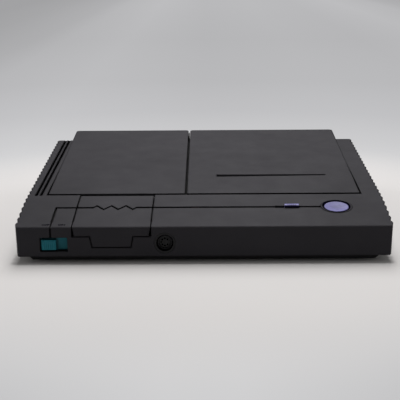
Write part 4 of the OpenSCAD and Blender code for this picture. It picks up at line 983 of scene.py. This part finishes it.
class CONSOLE_OT_board(bpy.types.Operator):
    """Add the legs of the chips and the small parts of the main board"""

    bl_idname = "console.board"
    bl_label = "Board parts"

    def execute(self, context):
        low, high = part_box("main_board")
        place = Matrix.Translation((low[0], low[1], high[2]))
        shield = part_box("board_shield")
        across = [(shield[side][0] - low[0]) / MM for side in (0, 1)]
        chips = (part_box("card_connector")[1][1] - low[1]) / MM
        behind = (shield[1][1] - low[1]) / MM
        steel, black = bpy.data.materials["turned_steel"], bpy.data.materials["black_moulding"]
        mesh_piece("chip_legs", self.legs(across, chips), "housing", steel, place)
        mesh_piece("board_capacitors", self.capacitors(behind), "housing",
                   bpy.data.materials["pressed_sheet"], place)
        mesh_piece("board_resistors", self.resistors(behind), "housing", black, place)
        return {"FINISHED"}

    def legs(self, across, back):
        """Bent legs on both sides of every chip: a small flat section carried out, down and out again.

        A chip's middle and width are shares of the width between the sides of the shield.
        """
        leg = carried([(-0.18, -0.06), (0.18, -0.06), (0.18, 0.06), (-0.18, 0.06)],
                      [(-0.1, 0, 1.1), (0.45, 0, 1.1), (0.7, 0, 0.08), (1.3, 0, 0.08)])
        places, turns = [], []
        wide = across[1] - across[0]
        for middle, width, behind, long in CHIPS:
            rows = np.arange(1.4 - long / 2, long / 2 - 1.0, LEG_PITCH)
            for turn, side in ((0.0, width / 2), (np.pi, -width / 2)):
                x = across[0] + (middle + side) * wide
                places.append(np.stack([x + 0 * rows, back + behind + rows, 0 * rows], axis=-1))
                turns.append(np.full(len(rows), turn))
        return repeated(leg, np.concatenate(places), np.concatenate(turns))

    def capacitors(self, back):
        """Upright cans with a rolled bead near the foot."""
        can = turned([(0, -0.02), (3.2, -0.02), (3.2, 0.9), (2.9, 1.3), (3.2, 1.7), (3.2, 7.6), (2.9, 8.0),
                      (0, 8.0)], 32)
        return repeated(can, [(12 + 10 * step, back + 10, 0) for step in range(4)])

    def resistors(self, back):
        """Rows of small chip resistors with chamfered tops."""
        body = carried([(-0.6, -0.02), (0.6, -0.02), (0.6, 0.4), (0.5, 0.5), (-0.5, 0.5), (-0.6, 0.4)],
                       [(-1.0, 0, 0), (1.0, 0, 0)])
        places = [(18 + 5 * column, back + 20 + 4 * line, 0) for line in range(5) for column in range(7)]
        return repeated(body, places)


class CONSOLE_PT_looks(bpy.types.Panel):
    """Lists the steps that dress the console"""

    bl_idname = "CONSOLE_PT_looks"
    bl_label = "Console"
    bl_space_type = "VIEW_3D"
    bl_region_type = "UI"
    bl_category = "Console"

    def draw(self, context):
        for step in STEPS:
            self.layout.operator(step.bl_idname)


GROUPS = (ConsoleFinish, ConsoleDetail, ConsoleStage)
STEPS = (CONSOLE_OT_stage, CONSOLE_OT_plastics, CONSOLE_OT_metals, CONSOLE_OT_marks, CONSOLE_OT_ridges,
         CONSOLE_OT_spring, CONSOLE_OT_drive, CONSOLE_OT_board)
CLASSES = (*GROUPS, *STEPS, CONSOLE_PT_looks)


def register():
    """Add the classes and the scene's settings."""
    for item in CLASSES:
        bpy.utils.register_class(item)
    bpy.types.Scene.console_finish = PointerProperty(type=ConsoleFinish)
    bpy.types.Scene.console_detail = PointerProperty(type=ConsoleDetail)
    bpy.types.Scene.console_stage = PointerProperty(type=ConsoleStage)


def unregister():
    """Take the settings and the classes away."""
    del bpy.types.Scene.console_stage
    del bpy.types.Scene.console_detail
    del bpy.types.Scene.console_finish
    for item in reversed(CLASSES):
        bpy.utils.unregister_class(item)


def main():
    """Dress the console step by step."""
    register()
    for step in STEPS:
        group, name = step.bl_idname.split(".")
        getattr(getattr(bpy.ops, group), name)()


if __name__ == "__main__":
    main()
